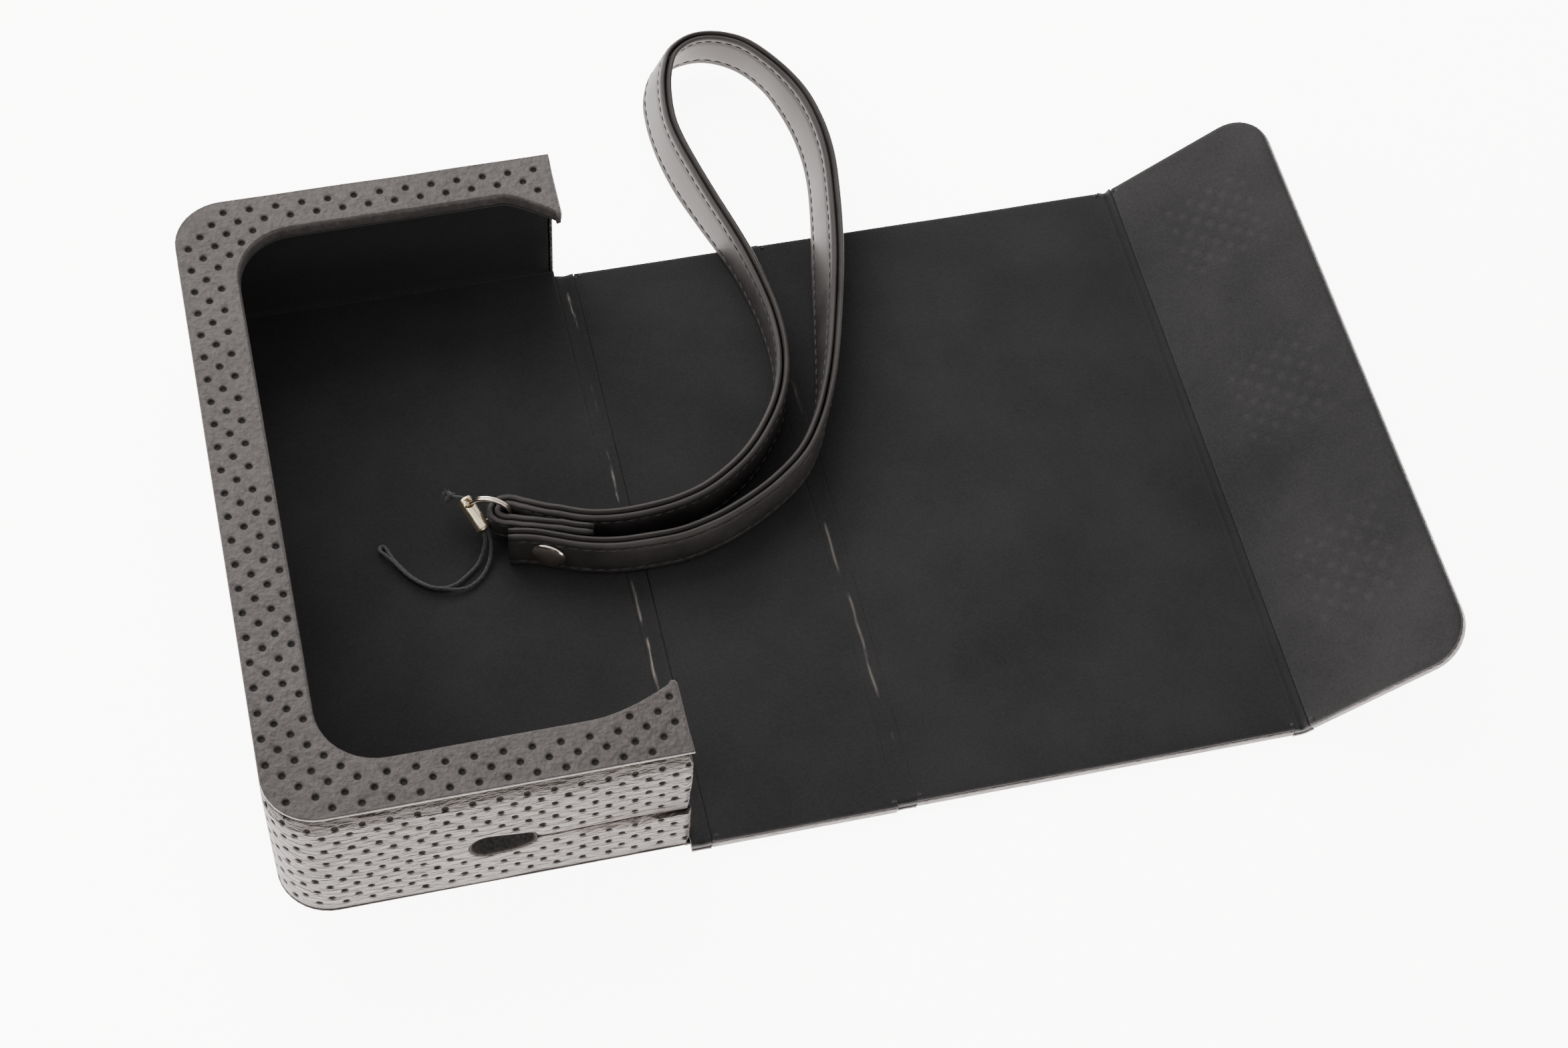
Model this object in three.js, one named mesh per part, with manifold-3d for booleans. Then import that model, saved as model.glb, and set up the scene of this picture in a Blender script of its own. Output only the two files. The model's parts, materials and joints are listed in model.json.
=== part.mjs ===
// A wrap case for a compact camera, lying open, with the wrist strap that belongs to it.
// Grey boards are wrapped in perforated leatherette outside and microsuede inside. A tray with a
// window-frame lip holds the camera, and a lid of three panels (spine, cover and tongue) folds
// up over it and closes on the tray's left wall with magnets.
//
// Millimetres, +Z up. The origin is the centre of the tray's underside. +X runs from the tray
// along the opened lid, and the front wall faces -Y.

import * as THREE from 'three';
import { mergeVertices } from 'three/addons/utils/BufferGeometryUtils.js';
import Module from 'manifold-3d';

// Tray
const TRAY_WIDTH = 60;
const TRAY_DEPTH = 110;
const TRAY_HEIGHT = 29;
const TRAY_CORNER = 8;

// Layers. GAP is the air left between two layers that touch on the real object.
const GAP = 0.3;
const SKIN = 0.5;
const PANEL_BOARD = 0.6;
const LINING = 0.5;
const WALL_SKIN = 0.6;
const WALL_BOARD = 1.2;
const WALL_LINING = 0.6;
const LIP_SKIN = 0.6;
const LIP_BOARD = 1.0;

// Lip: the widths of its bands, and the flare at the open ends of its arms
const LIP_SIDE = 9;
const LIP_FRONT = 8.3;
const LIP_BACK = 7.1;
const LIP_CORNER = 9;
const LIP_TIP = 12.4;
const FLARE_FRONT = 13;
const FLARE_BACK = 8;

// Strap slot in the front wall, with the slit that lets a strap slide in from the open side
const SLOT_LEFT = -2.7;
const SLOT_LENGTH = 10;
const SLOT_HEIGHT = 5.8;
const SLOT_Z = 12.3;
const SLIT_Z = 11.4;
const SLIT_WIDTH = 0.6;

// Lid: hinge lines and edges
const SPINE_HINGE_X = TRAY_WIDTH / 2 + 1.5;
const COVER_HINGE_X = SPINE_HINGE_X + 31.5;
const TONGUE_HINGE_X = COVER_HINGE_X + 62.8;
const HINGE_Z = 1;
const HINGE_MARGIN = 1.5;
const TONGUE_LENGTH = 29.6;
const TONGUE_RAISE = THREE.MathUtils.degToRad(36);
const TONGUE_CORNER = 7;
const LID_FRONT = -55.8;
const LID_BACK = 51;

// Magnets, as distances along the wall and from the tongue's hinge line
const MAGNET_RADIUS = 4;
const MAGNET_YS = [-34, 0, 34];
const MAGNET_REACH = 16;

// Strap: two plies side by side, standing on edge on the linings
const STRAP_WIDTH = 8;
const PLY = 0.9;
const PLY_GAP = 0.25;
const STRAP_STEPS = 150;
const TAB_WIDTH = 4;
const TAB_END_X = 15.5;
const TAB_TAPER = 5.5;
const TAB_SLOPE = -0.32;
const TAB_SIDE = 3.13;
const RIVET_X = 20;
const RIVET_Y = -1.9;
const RIVET_TURN = THREE.MathUtils.degToRad(-27);
const RIVET_SEAT = 3.85;
const RIVET_HOLE = 1.5;

// Ring, barrel and cord of the lanyard
const RING_RADIUS = 3.35;
const RING_WIRE = 0.38;
const RING_ANGLE = THREE.MathUtils.degToRad(157);
const BARREL_RADIUS = 1.2;
const BARREL_BORE = 0.8;
const BARREL_LENGTH = 5.7;
const BARREL_HOLE = new THREE.Vector3(7.85, 5.55, 7);
const BARREL_HOLE_RADIUS = 0.8;
const BARREL_HOLE_FROM_END = 1.5;
const BARREL_AXIS = new THREE.Vector3(2.2, -5.1, -1.5).normalize();
const KNOT_RADIUS = 0.95;
const KNOT_STUB = 1.3;
const KNOT_AXIS = new THREE.Vector3(-0.8, 0.5, -0.33).normalize();
const CORD_RADIUS = 0.28;
const CORD_SIDES = 8;
const CORD_STEPS = 100;

// Straight steps in each rounded corner
const ARC_STEPS = 8;

const HALF_WIDTH = TRAY_WIDTH / 2;
const HALF_DEPTH = TRAY_DEPTH / 2;
const PANEL = SKIN + GAP + PANEL_BOARD + GAP + LINING;
const BOARD_Z = SKIN + GAP;
const LINING_Z = BOARD_Z + PANEL_BOARD + GAP;
const WALL_BOARD_IN = WALL_SKIN + GAP;
const WALL_LINING_IN = WALL_BOARD_IN + WALL_BOARD + GAP;
const WALL = WALL_LINING_IN + WALL_LINING;
const LIP_SKIN_Z = TRAY_HEIGHT - LIP_SKIN;
const LIP_BOARD_Z = LIP_SKIN_Z - GAP - LIP_BOARD;
const LIP_LINING_Z = LIP_BOARD_Z - GAP - LINING;
const STRAP_Z = PANEL + GAP;

// The strap's centre line, from the riveted end of its outer arm, round the wrist loop and back
// along the inner arm, round the ring, to the end of the folded tail. A third number is how far
// the top edge leans to the line's outer side there
const STRAP_LINE = [
  [12.6, -2.35], [15, -2.8], [17.2, -3.45], [20, -4.6], [22.7, -5.7], [25.3, -6.5], [29, -7.2],
  [33, -7.4], [38.5, -7.3], [42.5, -6.5], [47.7, -4.75], [54.7, -1.1], [60.8, 3.8],
  [64.8, 9.8, 0.3], [67.6, 16.5, 1], [69.4, 22.5, 1.8], [71, 28.8, 2.5], [72.8, 36, 3],
  [74.3, 42.5, 3.3], [76.3, 52, 3], [77.8, 62, 2.7], [77.8, 69.5, 2.4], [76.6, 76.5, 1.9],
  [73.6, 84, 0.5], [69.8, 89, -0.1], [65, 91.5, -1], [61, 91.6, -1.7], [56.8, 89.4, -2.9],
  [54.4, 84.5, -3.2], [53.5, 79, -2.7], [53.4, 74, -2.2], [53.8, 70, -2.1], [55, 63.8, -2.1],
  [57.1, 56, -1.5], [59, 49.5, -1], [60.4, 44, -0.7], [61.6, 37, -0.5], [62.2, 30.5, -0.4],
  [61.9, 23.5, -0.2], [60.1, 16.6], [56.9, 10.8], [51.8, 4.9], [44.9, 0.3], [40, -1.35],
  [36.2, -1.95], [31.3, -2.15], [28, -1.9], [25.3, -1.35], [22.7, -0.4], [20, 0.95], [18, 2.3],
  [16.3, 3.6], [14.3, 4.8], [12.6, 4.9], [11.5, 4.1], [11.3, 2.9], [12.3, 1.7], [14, 1.15],
  [15.8, 0.45], [17.5, -0.45], [20, -1.85], [22.7, -3.1], [25.6, -4.05],
];

// The cord's centre line: out of the barrel, over the tray's floor to a small end loop, and back
const CORD_LINE = [
  [9.3, 1.3, 5.75], [9.4, 0.5, 5.1], [9.1, -0.3, 4.2], [8.6, -1.1, 3.4], [7.6, -2.4, 2.8],
  [5.7, -4, 2.7], [3.8, -5.2, 2.7], [1.8, -5.55, 2.7], [0, -5, 2.7], [-1.5, -3.9, 2.7],
  [-2.9, -2.4, 2.7], [-4, -0.7, 2.7], [-4.9, 0.9, 2.7], [-5.5, 2.4, 2.7], [-5.8, 3.3, 2.7],
  [-6.2, 3.75, 2.7], [-6.7, 3.5, 2.8], [-6.7, 2.8, 3], [-6.1, 1.8, 3.25], [-5.2, 0.45, 3.4],
  [-4.3, -1.1, 3.4], [-3.2, -2.75, 3.4], [-1.75, -4.3, 3.4], [-0.15, -5.45, 3.4],
  [1.7, -6.05, 3.35], [3.8, -6.4, 3], [5.6, -6.15, 2.75], [7, -5.4, 2.75], [8.3, -4.2, 2.8], [9.4, -2.5, 3],
  [10, -1, 3.6], [10.2, 0, 4.4], [10.15, 0.8, 5.1], [10, 1.5, 5.75],
];

const wasm = await Module();
wasm.setup();

const finishes = {
  leatherette: { color: 0x4a4747, roughness: 0.55, metalness: 0 },
  suede: { color: 0x171616, roughness: 0.95, metalness: 0 },
  board: { color: 0x8d857a, roughness: 0.9, metalness: 0 },
  magnet: { color: 0xa9aaad, roughness: 0.35, metalness: 1 },
  strap: { color: 0x2b292a, roughness: 0.6, metalness: 0 },
  nickel: { color: 0xd8cdb8, roughness: 0.2, metalness: 1 },
  cord: { color: 0x161616, roughness: 0.9, metalness: 0 },
};

function addPart(group, name, geometry, finish) {
  const mesh = new THREE.Mesh(geometry, new THREE.MeshStandardMaterial(finishes[finish]));
  mesh.name = name;
  group.add(mesh);
  return mesh;
}

// Booleans

function toSolid(geometry) {
  const bare = geometry.clone();
  bare.deleteAttribute('normal');
  bare.deleteAttribute('uv');
  const merged = mergeVertices(bare, 1e-4);
  return new wasm.Manifold(new wasm.Mesh({
    numProp: 3,
    vertProperties: new Float32Array(merged.attributes.position.array),
    triVerts: new Uint32Array(merged.index.array),
  }));
}

function toGeometry(solid) {
  const mesh = solid.getMesh();
  const geometry = new THREE.BufferGeometry();
  geometry.setAttribute('position', new THREE.BufferAttribute(mesh.vertProperties, 3));
  geometry.setIndex(new THREE.BufferAttribute(mesh.triVerts, 1));
  geometry.computeVertexNormals();
  return geometry;
}

function cut(geometry, ...tools) {
  let solid = toSolid(geometry);
  for (const tool of tools) {
    solid = solid.subtract(toSolid(tool));
  }
  return toGeometry(solid);
}

// Plain shapes

function extrudeUp(shape, low, high) {
  const geometry = new THREE.ExtrudeGeometry(shape, { depth: high - low, bevelEnabled: false });
  return geometry.translate(0, 0, low);
}

function block(x0, x1, y0, y1, z0, z1) {
  const geometry = new THREE.BoxGeometry(x1 - x0, y1 - y0, z1 - z0);
  return geometry.translate((x0 + x1) / 2, (y0 + y1) / 2, (z0 + z1) / 2);
}

// Points along an arc, from one angle to another in degrees
function arc(cx, cy, radius, from, to) {
  const points = [];
  for (let i = 0; i <= ARC_STEPS; i++) {
    const angle = THREE.MathUtils.degToRad(from + ((to - from) * i) / ARC_STEPS);
    points.push([cx + Math.cos(angle) * radius, cy + Math.sin(angle) * radius]);
  }
  return points;
}

// A closed outline through the points, leaving out any that repeats the one before
function outline(points) {
  const kept = [];
  for (const [x, y] of points) {
    const point = new THREE.Vector2(x, y);
    if (kept.length === 0 || point.distanceTo(kept[kept.length - 1]) > 1e-4) {
      kept.push(point);
    }
  }
  return new THREE.Shape(kept);
}

// A rectangle whose left or right corners are rounded
function roundedRectangle(x0, x1, y0, y1, left, right) {
  return outline([
    ...arc(x0 + left, y0 + left, left, 180, 270),
    ...arc(x1 - right, y0 + right, right, -90, 0),
    ...arc(x1 - right, y1 - right, right, 0, 90),
    ...arc(x0 + left, y1 - left, left, 90, 180).slice(0, left > 0 ? undefined : 1),
  ]);
}

// The tray's outer line at an inset, from the open end of the front wall round to the back one
function outerLine(inset, endX) {
  const cx = -HALF_WIDTH + TRAY_CORNER;
  const cy = HALF_DEPTH - TRAY_CORNER;
  const radius = TRAY_CORNER - inset;
  return [
    [endX, -HALF_DEPTH + inset],
    ...arc(cx, -cy, radius, 270, 180),
    ...arc(cx, cy, radius, 180, 90),
    [endX, HALF_DEPTH - inset],
  ];
}

// The tray's outline as a band between two insets from its outer face, open towards +X
function wallBand(outer, inner, endX) {
  return outline([...outerLine(outer, endX), ...outerLine(inner, endX).reverse()]);
}

// The lip seen from above: the tray's outline outside, and the window with its flared arms inside
function lipBand(outer, inner, endX) {
  const windowX = -HALF_WIDTH + LIP_SIDE + LIP_CORNER;
  const windowBack = HALF_DEPTH - LIP_BACK - LIP_CORNER;
  const windowFront = -HALF_DEPTH + LIP_FRONT + LIP_CORNER;
  const tipY = HALF_DEPTH - LIP_TIP + inner;
  return outline([
    ...outerLine(outer, endX),
    [endX, tipY],
    [HALF_WIDTH - FLARE_BACK, HALF_DEPTH - LIP_BACK + inner],
    ...arc(windowX, windowBack, LIP_CORNER + inner, 90, 180),
    ...arc(windowX, windowFront, LIP_CORNER + inner, 180, 270),
    [HALF_WIDTH - FLARE_FRONT, -HALF_DEPTH + LIP_FRONT - inner],
    [endX, -tipY],
  ]);
}

// Tray

function slotCutter() {
  const radius = SLOT_HEIGHT / 2;
  const right = SLOT_LEFT + SLOT_LENGTH;
  const slot = outline([
    ...arc(SLOT_LEFT + radius, SLOT_Z, radius, 90, 270),
    ...arc(right - radius, SLOT_Z, radius, -90, 90),
  ]);
  const depth = WALL * 3;
  const hole = new THREE.ExtrudeGeometry(slot, { depth, bevelEnabled: false });
  hole.rotateX(Math.PI / 2);
  hole.translate(0, -HALF_DEPTH + depth / 2, 0);
  const slitEnd = HALF_WIDTH + 1;
  const slit = block(right - radius, slitEnd, -HALF_DEPTH - depth / 2, -HALF_DEPTH + depth / 2,
    SLIT_Z - SLIT_WIDTH / 2, SLIT_Z + SLIT_WIDTH / 2);
  return toGeometry(toSolid(hole).add(toSolid(slit)));
}

// A disc whose axis is along X
function discAlongX(radius, x0, x1, y, z) {
  const disc = new THREE.CylinderGeometry(radius, radius, x1 - x0, 24);
  disc.rotateZ(Math.PI / 2);
  return disc.translate((x0 + x1) / 2, y, z);
}

function addBase(group) {
  const left = -HALF_WIDTH;
  const skin = roundedRectangle(left, HALF_WIDTH, -HALF_DEPTH, HALF_DEPTH, TRAY_CORNER, 0);
  addPart(group, 'base_skin', extrudeUp(skin, 0, SKIN), 'leatherette');

  const inset = WALL_BOARD_IN;
  const boardEnd = HALF_WIDTH - inset;
  const board = roundedRectangle(left + inset, boardEnd, -HALF_DEPTH + inset, HALF_DEPTH - inset,
    TRAY_CORNER - inset, 0);
  addPart(group, 'base_board', extrudeUp(board, BOARD_Z, BOARD_Z + PANEL_BOARD), 'board');

  const floor = WALL + GAP;
  const lining = roundedRectangle(left + floor, HALF_WIDTH, -HALF_DEPTH + floor,
    HALF_DEPTH - floor, TRAY_CORNER - floor, 0);
  addPart(group, 'base_lining', extrudeUp(lining, LINING_Z, PANEL), 'suede');
}

function addWalls(group) {
  const slot = slotCutter();
  const skin = extrudeUp(wallBand(0, WALL_SKIN, HALF_WIDTH), BOARD_Z, LIP_SKIN_Z - GAP);
  addPart(group, 'wall_skin', cut(skin, slot), 'leatherette');

  const boardLow = LINING_Z;
  const boardHigh = LIP_BOARD_Z - GAP;
  const outer = WALL_BOARD_IN;
  const inner = WALL_BOARD_IN + WALL_BOARD;
  const bendEnd = -HALF_WIDTH + TRAY_CORNER + 0.5;
  const magnetZ = COVER_HINGE_X - SPINE_HINGE_X + HINGE_Z - MAGNET_REACH;
  const pockets = MAGNET_YS.map((y) => discAlongX(MAGNET_RADIUS + GAP, -HALF_WIDTH,
    -HALF_WIDTH + WALL, y, magnetZ));
  const leftBoard = extrudeUp(wallBand(outer, inner, bendEnd), boardLow, boardHigh);
  addPart(group, 'wall_board_left', cut(leftBoard, ...pockets), 'board');
  const boardEnd = HALF_WIDTH - outer;
  const frontBoard = block(bendEnd + GAP, boardEnd, -HALF_DEPTH + outer, -HALF_DEPTH + inner,
    boardLow, boardHigh);
  addPart(group, 'wall_board_front', cut(frontBoard, slot), 'board');
  addPart(group, 'wall_board_back', block(bendEnd + GAP, boardEnd, HALF_DEPTH - inner,
    HALF_DEPTH - outer, boardLow, boardHigh), 'board');

  const lining = extrudeUp(wallBand(WALL_LINING_IN, WALL, HALF_WIDTH), LINING_Z,
    LIP_LINING_Z - GAP);
  addPart(group, 'wall_lining', cut(lining, slot), 'suede');

  MAGNET_YS.forEach((y, i) => {
    const magnet = discAlongX(MAGNET_RADIUS, -HALF_WIDTH + outer, -HALF_WIDTH + inner, y, magnetZ);
    addPart(group, `wall_magnet_${i + 1}`, magnet, 'magnet');
  });
}

function addLip(group) {
  const skin = extrudeUp(lipBand(0, 0, HALF_WIDTH), LIP_SKIN_Z, TRAY_HEIGHT);
  addPart(group, 'lip_skin', skin, 'leatherette');
  const board = extrudeUp(lipBand(WALL_BOARD_IN, WALL_BOARD_IN, HALF_WIDTH - WALL_BOARD_IN),
    LIP_BOARD_Z, LIP_BOARD_Z + LIP_BOARD);
  addPart(group, 'lip_board', board, 'board');
  const lining = extrudeUp(lipBand(WALL_LINING_IN, 0, HALF_WIDTH), LIP_LINING_Z,
    LIP_LINING_Z + LINING);
  addPart(group, 'lip_lining', lining, 'suede');
}

// Lid

// A flat panel of skin, board and lining between two X values, measured from its own group
function addPanel(group, name, x0, x1, y0, y1, corner, pockets = []) {
  const skin = roundedRectangle(x0, x1, y0, y1, 0, corner);
  addPart(group, `${name}_skin`, extrudeUp(skin, 0, SKIN), 'leatherette');
  const inset = WALL_BOARD_IN;
  const board = extrudeUp(roundedRectangle(x0, x1 - inset, y0 + inset, y1 - inset, 0,
    Math.max(corner - inset, 0)), BOARD_Z, BOARD_Z + PANEL_BOARD);
  addPart(group, `${name}_board`, pockets.length ? cut(board, ...pockets) : board, 'board');
  const lining = roundedRectangle(x0, x1 - GAP, y0 + GAP, y1 - GAP, 0, Math.max(corner - GAP, 0));
  addPart(group, `${name}_lining`, extrudeUp(lining, LINING_Z, PANEL), 'suede');
}

function discUp(radius, x, y, low, high) {
  const disc = new THREE.CylinderGeometry(radius, radius, high - low, 24);
  disc.rotateX(Math.PI / 2);
  return disc.translate(x, y, (low + high) / 2);
}

// The bare leatherette that bends between two panels
function addCrease(group, name, x0, x1, y0, y1) {
  addPart(group, name, block(x0, x1, y0, y1, 0, SKIN), 'leatherette');
}

function addLid(group) {
  const spineFront = LID_FRONT - 0.4;
  addCrease(group, 'spine_crease', HALF_WIDTH + GAP, SPINE_HINGE_X + HINGE_MARGIN - GAP,
    spineFront, LID_BACK);
  addPanel(group, 'spine', SPINE_HINGE_X + HINGE_MARGIN, COVER_HINGE_X - HINGE_MARGIN,
    spineFront, LID_BACK, 0);
  addCrease(group, 'cover_crease', COVER_HINGE_X - HINGE_MARGIN + GAP,
    COVER_HINGE_X + HINGE_MARGIN - GAP, LID_FRONT, LID_BACK);
  addPanel(group, 'cover', COVER_HINGE_X + HINGE_MARGIN, TONGUE_HINGE_X - HINGE_MARGIN,
    LID_FRONT, LID_BACK, 0);
  addCrease(group, 'tongue_crease', TONGUE_HINGE_X - HINGE_MARGIN + GAP, TONGUE_HINGE_X + 0.6,
    LID_FRONT, LID_BACK);
}

function addTongue(group) {
  const tongue = new THREE.Group();
  tongue.position.set(TONGUE_HINGE_X, 0, HINGE_Z);
  tongue.rotation.y = -TONGUE_RAISE;
  const flat = new THREE.Group();
  flat.position.z = -HINGE_Z;
  tongue.add(flat);
  group.add(tongue);
  const top = BOARD_Z + PANEL_BOARD;
  const pockets = MAGNET_YS.map((y) => discUp(MAGNET_RADIUS + GAP, MAGNET_REACH, y, 0, PANEL));
  addPanel(flat, 'tongue', HINGE_MARGIN, TONGUE_LENGTH, LID_FRONT, LID_BACK, TONGUE_CORNER,
    pockets);
  MAGNET_YS.forEach((y, i) => {
    addPart(flat, `tongue_magnet_${i + 1}`, discUp(MAGNET_RADIUS, MAGNET_REACH, y, BOARD_Z, top),
      'magnet');
  });
}

// Strap

// One ply as a ribbon between two offsets to the outer side of the strap's centre line
function strapPly(curve, from, to) {
  const corners = [[from, 0], [to, 0], [to, 1], [from, 1]];
  const rows = [];
  for (let i = 0; i <= STRAP_STEPS; i++) {
    const point = curve.getPointAt(i / STRAP_STEPS);
    const tangent = curve.getTangentAt(i / STRAP_STEPS).setZ(0).normalize();
    rows.push(corners.map(([offset, up]) => {
      const out = offset + point.z * (up - 0.5);
      return [point.x + tangent.y * out, point.y - tangent.x * out, STRAP_Z + STRAP_WIDTH * up];
    }));
  }
  const faces = [];
  const addQuad = (a, b, c, d) => faces.push(...a, ...b, ...c, ...a, ...c, ...d);
  addQuad(...rows[0]);
  addQuad(...rows[STRAP_STEPS].slice().reverse());
  for (let i = 0; i < STRAP_STEPS; i++) {
    for (let k = 0; k < corners.length; k++) {
      const next = (k + 1) % corners.length;
      addQuad(rows[i][k], rows[i + 1][k], rows[i + 1][next], rows[i][next]);
    }
  }
  const geometry = new THREE.BufferGeometry();
  return geometry.setAttribute('position', new THREE.Float32BufferAttribute(faces, 3));
}

// Wedges that narrow the strap's folded end above and below, where the ring goes round it. Their
// side slopes between the folded tail and the outer arm
function tabCutters() {
  const tabLow = STRAP_Z + (STRAP_WIDTH - TAB_WIDTH) / 2;
  const tabHigh = tabLow + TAB_WIDTH;
  const past = 1;
  const start = TAB_END_X - 8;
  const end = TAB_END_X + TAB_TAPER;
  const sides = [[tabHigh, STRAP_Z + STRAP_WIDTH], [tabLow, STRAP_Z]];
  return sides.map(([inner, outer]) => {
    const beyond = outer + Math.sign(outer - inner) * past;
    const wedge = new THREE.Shape([
      new THREE.Vector2(start, inner),
      new THREE.Vector2(TAB_END_X, inner),
      new THREE.Vector2(end, outer),
      new THREE.Vector2(end, beyond),
      new THREE.Vector2(start, beyond),
    ]);
    const depth = 12;
    const geometry = new THREE.ExtrudeGeometry(wedge, { depth, bevelEnabled: false });
    geometry.rotateX(Math.PI / 2);
    geometry.translate(0, TAB_SIDE + depth, 0);
    return geometry.applyMatrix4(new THREE.Matrix4().makeShear(TAB_SLOPE, 0, 0, 0, 0, 0));
  });
}

function placeOnRivet(geometry) {
  geometry.rotateZ(RIVET_TURN);
  return geometry.translate(RIVET_X, RIVET_Y, STRAP_Z + STRAP_WIDTH / 2);
}

function addStrap(group) {
  const points = STRAP_LINE.map(([x, y, lean = 0]) => new THREE.Vector3(x, y, lean));
  const curve = new THREE.CatmullRomCurve3(points, false, 'centripetal');
  curve.arcLengthDivisions = 2000;
  const rivetHole = placeOnRivet(new THREE.CylinderGeometry(RIVET_HOLE, RIVET_HOLE, 14, 20));
  const cutters = [rivetHole, ...tabCutters()];
  const half = PLY_GAP / 2;
  const outerPly = strapPly(curve, half, half + PLY);
  const innerPly = strapPly(curve, -half - PLY, -half);
  addPart(group, 'strap_outer_ply', cut(outerPly, ...cutters), 'strap');
  addPart(group, 'strap_inner_ply', cut(innerPly, ...cutters), 'strap');

  const rivetProfile = [
    [0, -0.75 - RIVET_SEAT], [1.6, -0.65 - RIVET_SEAT], [2.8, -0.3 - RIVET_SEAT],
    [2.8, -RIVET_SEAT], [1.2, -RIVET_SEAT], [1.2, RIVET_SEAT], [1.9, RIVET_SEAT],
    [1.9, RIVET_SEAT + 0.35], [1.2, RIVET_SEAT + 0.45], [0, RIVET_SEAT + 0.45],
  ].map(([r, y]) => new THREE.Vector2(r, y));
  addPart(group, 'strap_rivet', placeOnRivet(new THREE.LatheGeometry(rivetProfile, 24)), 'nickel');

  const ring = new THREE.TorusGeometry(RING_RADIUS, RING_WIRE, 10, 40);
  ring.rotateX(Math.PI / 2);
  ring.rotateZ(RING_ANGLE);
  ring.translate(BARREL_HOLE.x - Math.cos(RING_ANGLE) * RING_RADIUS,
    BARREL_HOLE.y - Math.sin(RING_ANGLE) * RING_RADIUS, BARREL_HOLE.z);
  addPart(group, 'strap_ring', ring, 'nickel');
}

// Lanyard: the barrel on the ring, the cord through it and the knot that stops the cord

function barrelGeometry() {
  const profile = [
    [BARREL_BORE, 0], [BARREL_RADIUS, 0], [BARREL_RADIUS, BARREL_LENGTH],
    [BARREL_BORE, BARREL_LENGTH], [BARREL_BORE, 0],
  ].map(([r, y]) => new THREE.Vector2(r, y));
  const barrel = new THREE.LatheGeometry(profile, 24);
  const turn = new THREE.Quaternion().setFromUnitVectors(new THREE.Vector3(0, 1, 0), BARREL_AXIS);
  barrel.applyQuaternion(turn);
  const end = BARREL_HOLE.clone().addScaledVector(BARREL_AXIS, -BARREL_HOLE_FROM_END);
  barrel.translate(end.x, end.y, end.z);
  const crossHole = new THREE.CylinderGeometry(BARREL_HOLE_RADIUS, BARREL_HOLE_RADIUS, 8, 16);
  crossHole.rotateX(Math.PI / 2);
  crossHole.translate(BARREL_HOLE.x, BARREL_HOLE.y, BARREL_HOLE.z);
  return cut(barrel, crossHole);
}

function cordGeometry() {
  const section = new THREE.Shape();
  for (let i = 0; i < CORD_SIDES; i++) {
    const angle = (i / CORD_SIDES) * Math.PI * 2;
    const x = Math.cos(angle) * CORD_RADIUS;
    const y = Math.sin(angle) * CORD_RADIUS;
    if (i === 0) section.moveTo(x, y);
    else section.lineTo(x, y);
  }
  section.closePath();
  const points = CORD_LINE.map(([x, y, z]) => new THREE.Vector3(x, y, z));
  return new THREE.ExtrudeGeometry(section, {
    steps: CORD_STEPS,
    bevelEnabled: false,
    extrudePath: new THREE.CatmullRomCurve3(points, false, 'centripetal'),
  });
}

function addLanyard(group) {
  addPart(group, 'lanyard_barrel', barrelGeometry(), 'nickel');
  const end = BARREL_HOLE.clone().addScaledVector(BARREL_AXIS, -BARREL_HOLE_FROM_END - GAP);
  const knotProfile = [
    [0, 0], [0.5, 0.05], [0.5, KNOT_STUB - 0.2], [0.7, KNOT_STUB],
    [KNOT_RADIUS, KNOT_STUB + 0.7], [0.75, KNOT_STUB + 1.4], [0, KNOT_STUB + 1.7],
  ].map(([r, y]) => new THREE.Vector2(r, y));
  const knot = new THREE.LatheGeometry(knotProfile, 16);
  knot.applyQuaternion(new THREE.Quaternion().setFromUnitVectors(new THREE.Vector3(0, 1, 0),
    KNOT_AXIS));
  addPart(group, 'lanyard_knot', knot.translate(end.x, end.y, end.z), 'cord');
  addPart(group, 'lanyard_cord', cordGeometry(), 'cord');
}

const object = new THREE.Group();
addBase(object);
addWalls(object);
addLip(object);
addLid(object);
addTongue(object);
addStrap(object);
addLanyard(object);

export default object;
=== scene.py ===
# A wrap case for a compact camera, lying open, with its wrist strap: the looks around the CAD frame.
# Shapes are worked out in millimetres, in the frame's own axes, and scaled to metres when made.
import json
import math
import random

import bmesh
import bpy
from mathutils import Matrix, Vector, noise
from mathutils.geometry import delaunay_2d_cdt


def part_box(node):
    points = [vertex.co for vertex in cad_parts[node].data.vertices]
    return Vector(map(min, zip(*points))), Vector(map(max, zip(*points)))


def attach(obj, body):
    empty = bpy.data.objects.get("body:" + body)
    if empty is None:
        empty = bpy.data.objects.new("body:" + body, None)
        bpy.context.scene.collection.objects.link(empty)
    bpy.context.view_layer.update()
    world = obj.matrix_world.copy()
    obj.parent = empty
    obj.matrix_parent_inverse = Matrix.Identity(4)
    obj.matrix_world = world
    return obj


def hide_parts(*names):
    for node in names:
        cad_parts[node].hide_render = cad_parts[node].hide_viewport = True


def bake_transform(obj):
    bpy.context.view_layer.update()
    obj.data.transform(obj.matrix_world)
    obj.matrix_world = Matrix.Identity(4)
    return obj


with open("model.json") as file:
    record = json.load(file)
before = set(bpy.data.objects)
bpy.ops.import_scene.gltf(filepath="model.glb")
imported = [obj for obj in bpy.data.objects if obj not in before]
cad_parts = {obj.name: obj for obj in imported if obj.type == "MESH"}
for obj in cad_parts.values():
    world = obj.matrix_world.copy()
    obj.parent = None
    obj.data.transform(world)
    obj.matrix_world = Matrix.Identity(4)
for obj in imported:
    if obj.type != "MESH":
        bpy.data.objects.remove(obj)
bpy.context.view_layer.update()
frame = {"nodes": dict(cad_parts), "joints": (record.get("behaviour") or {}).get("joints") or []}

MM = 0.001

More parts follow.
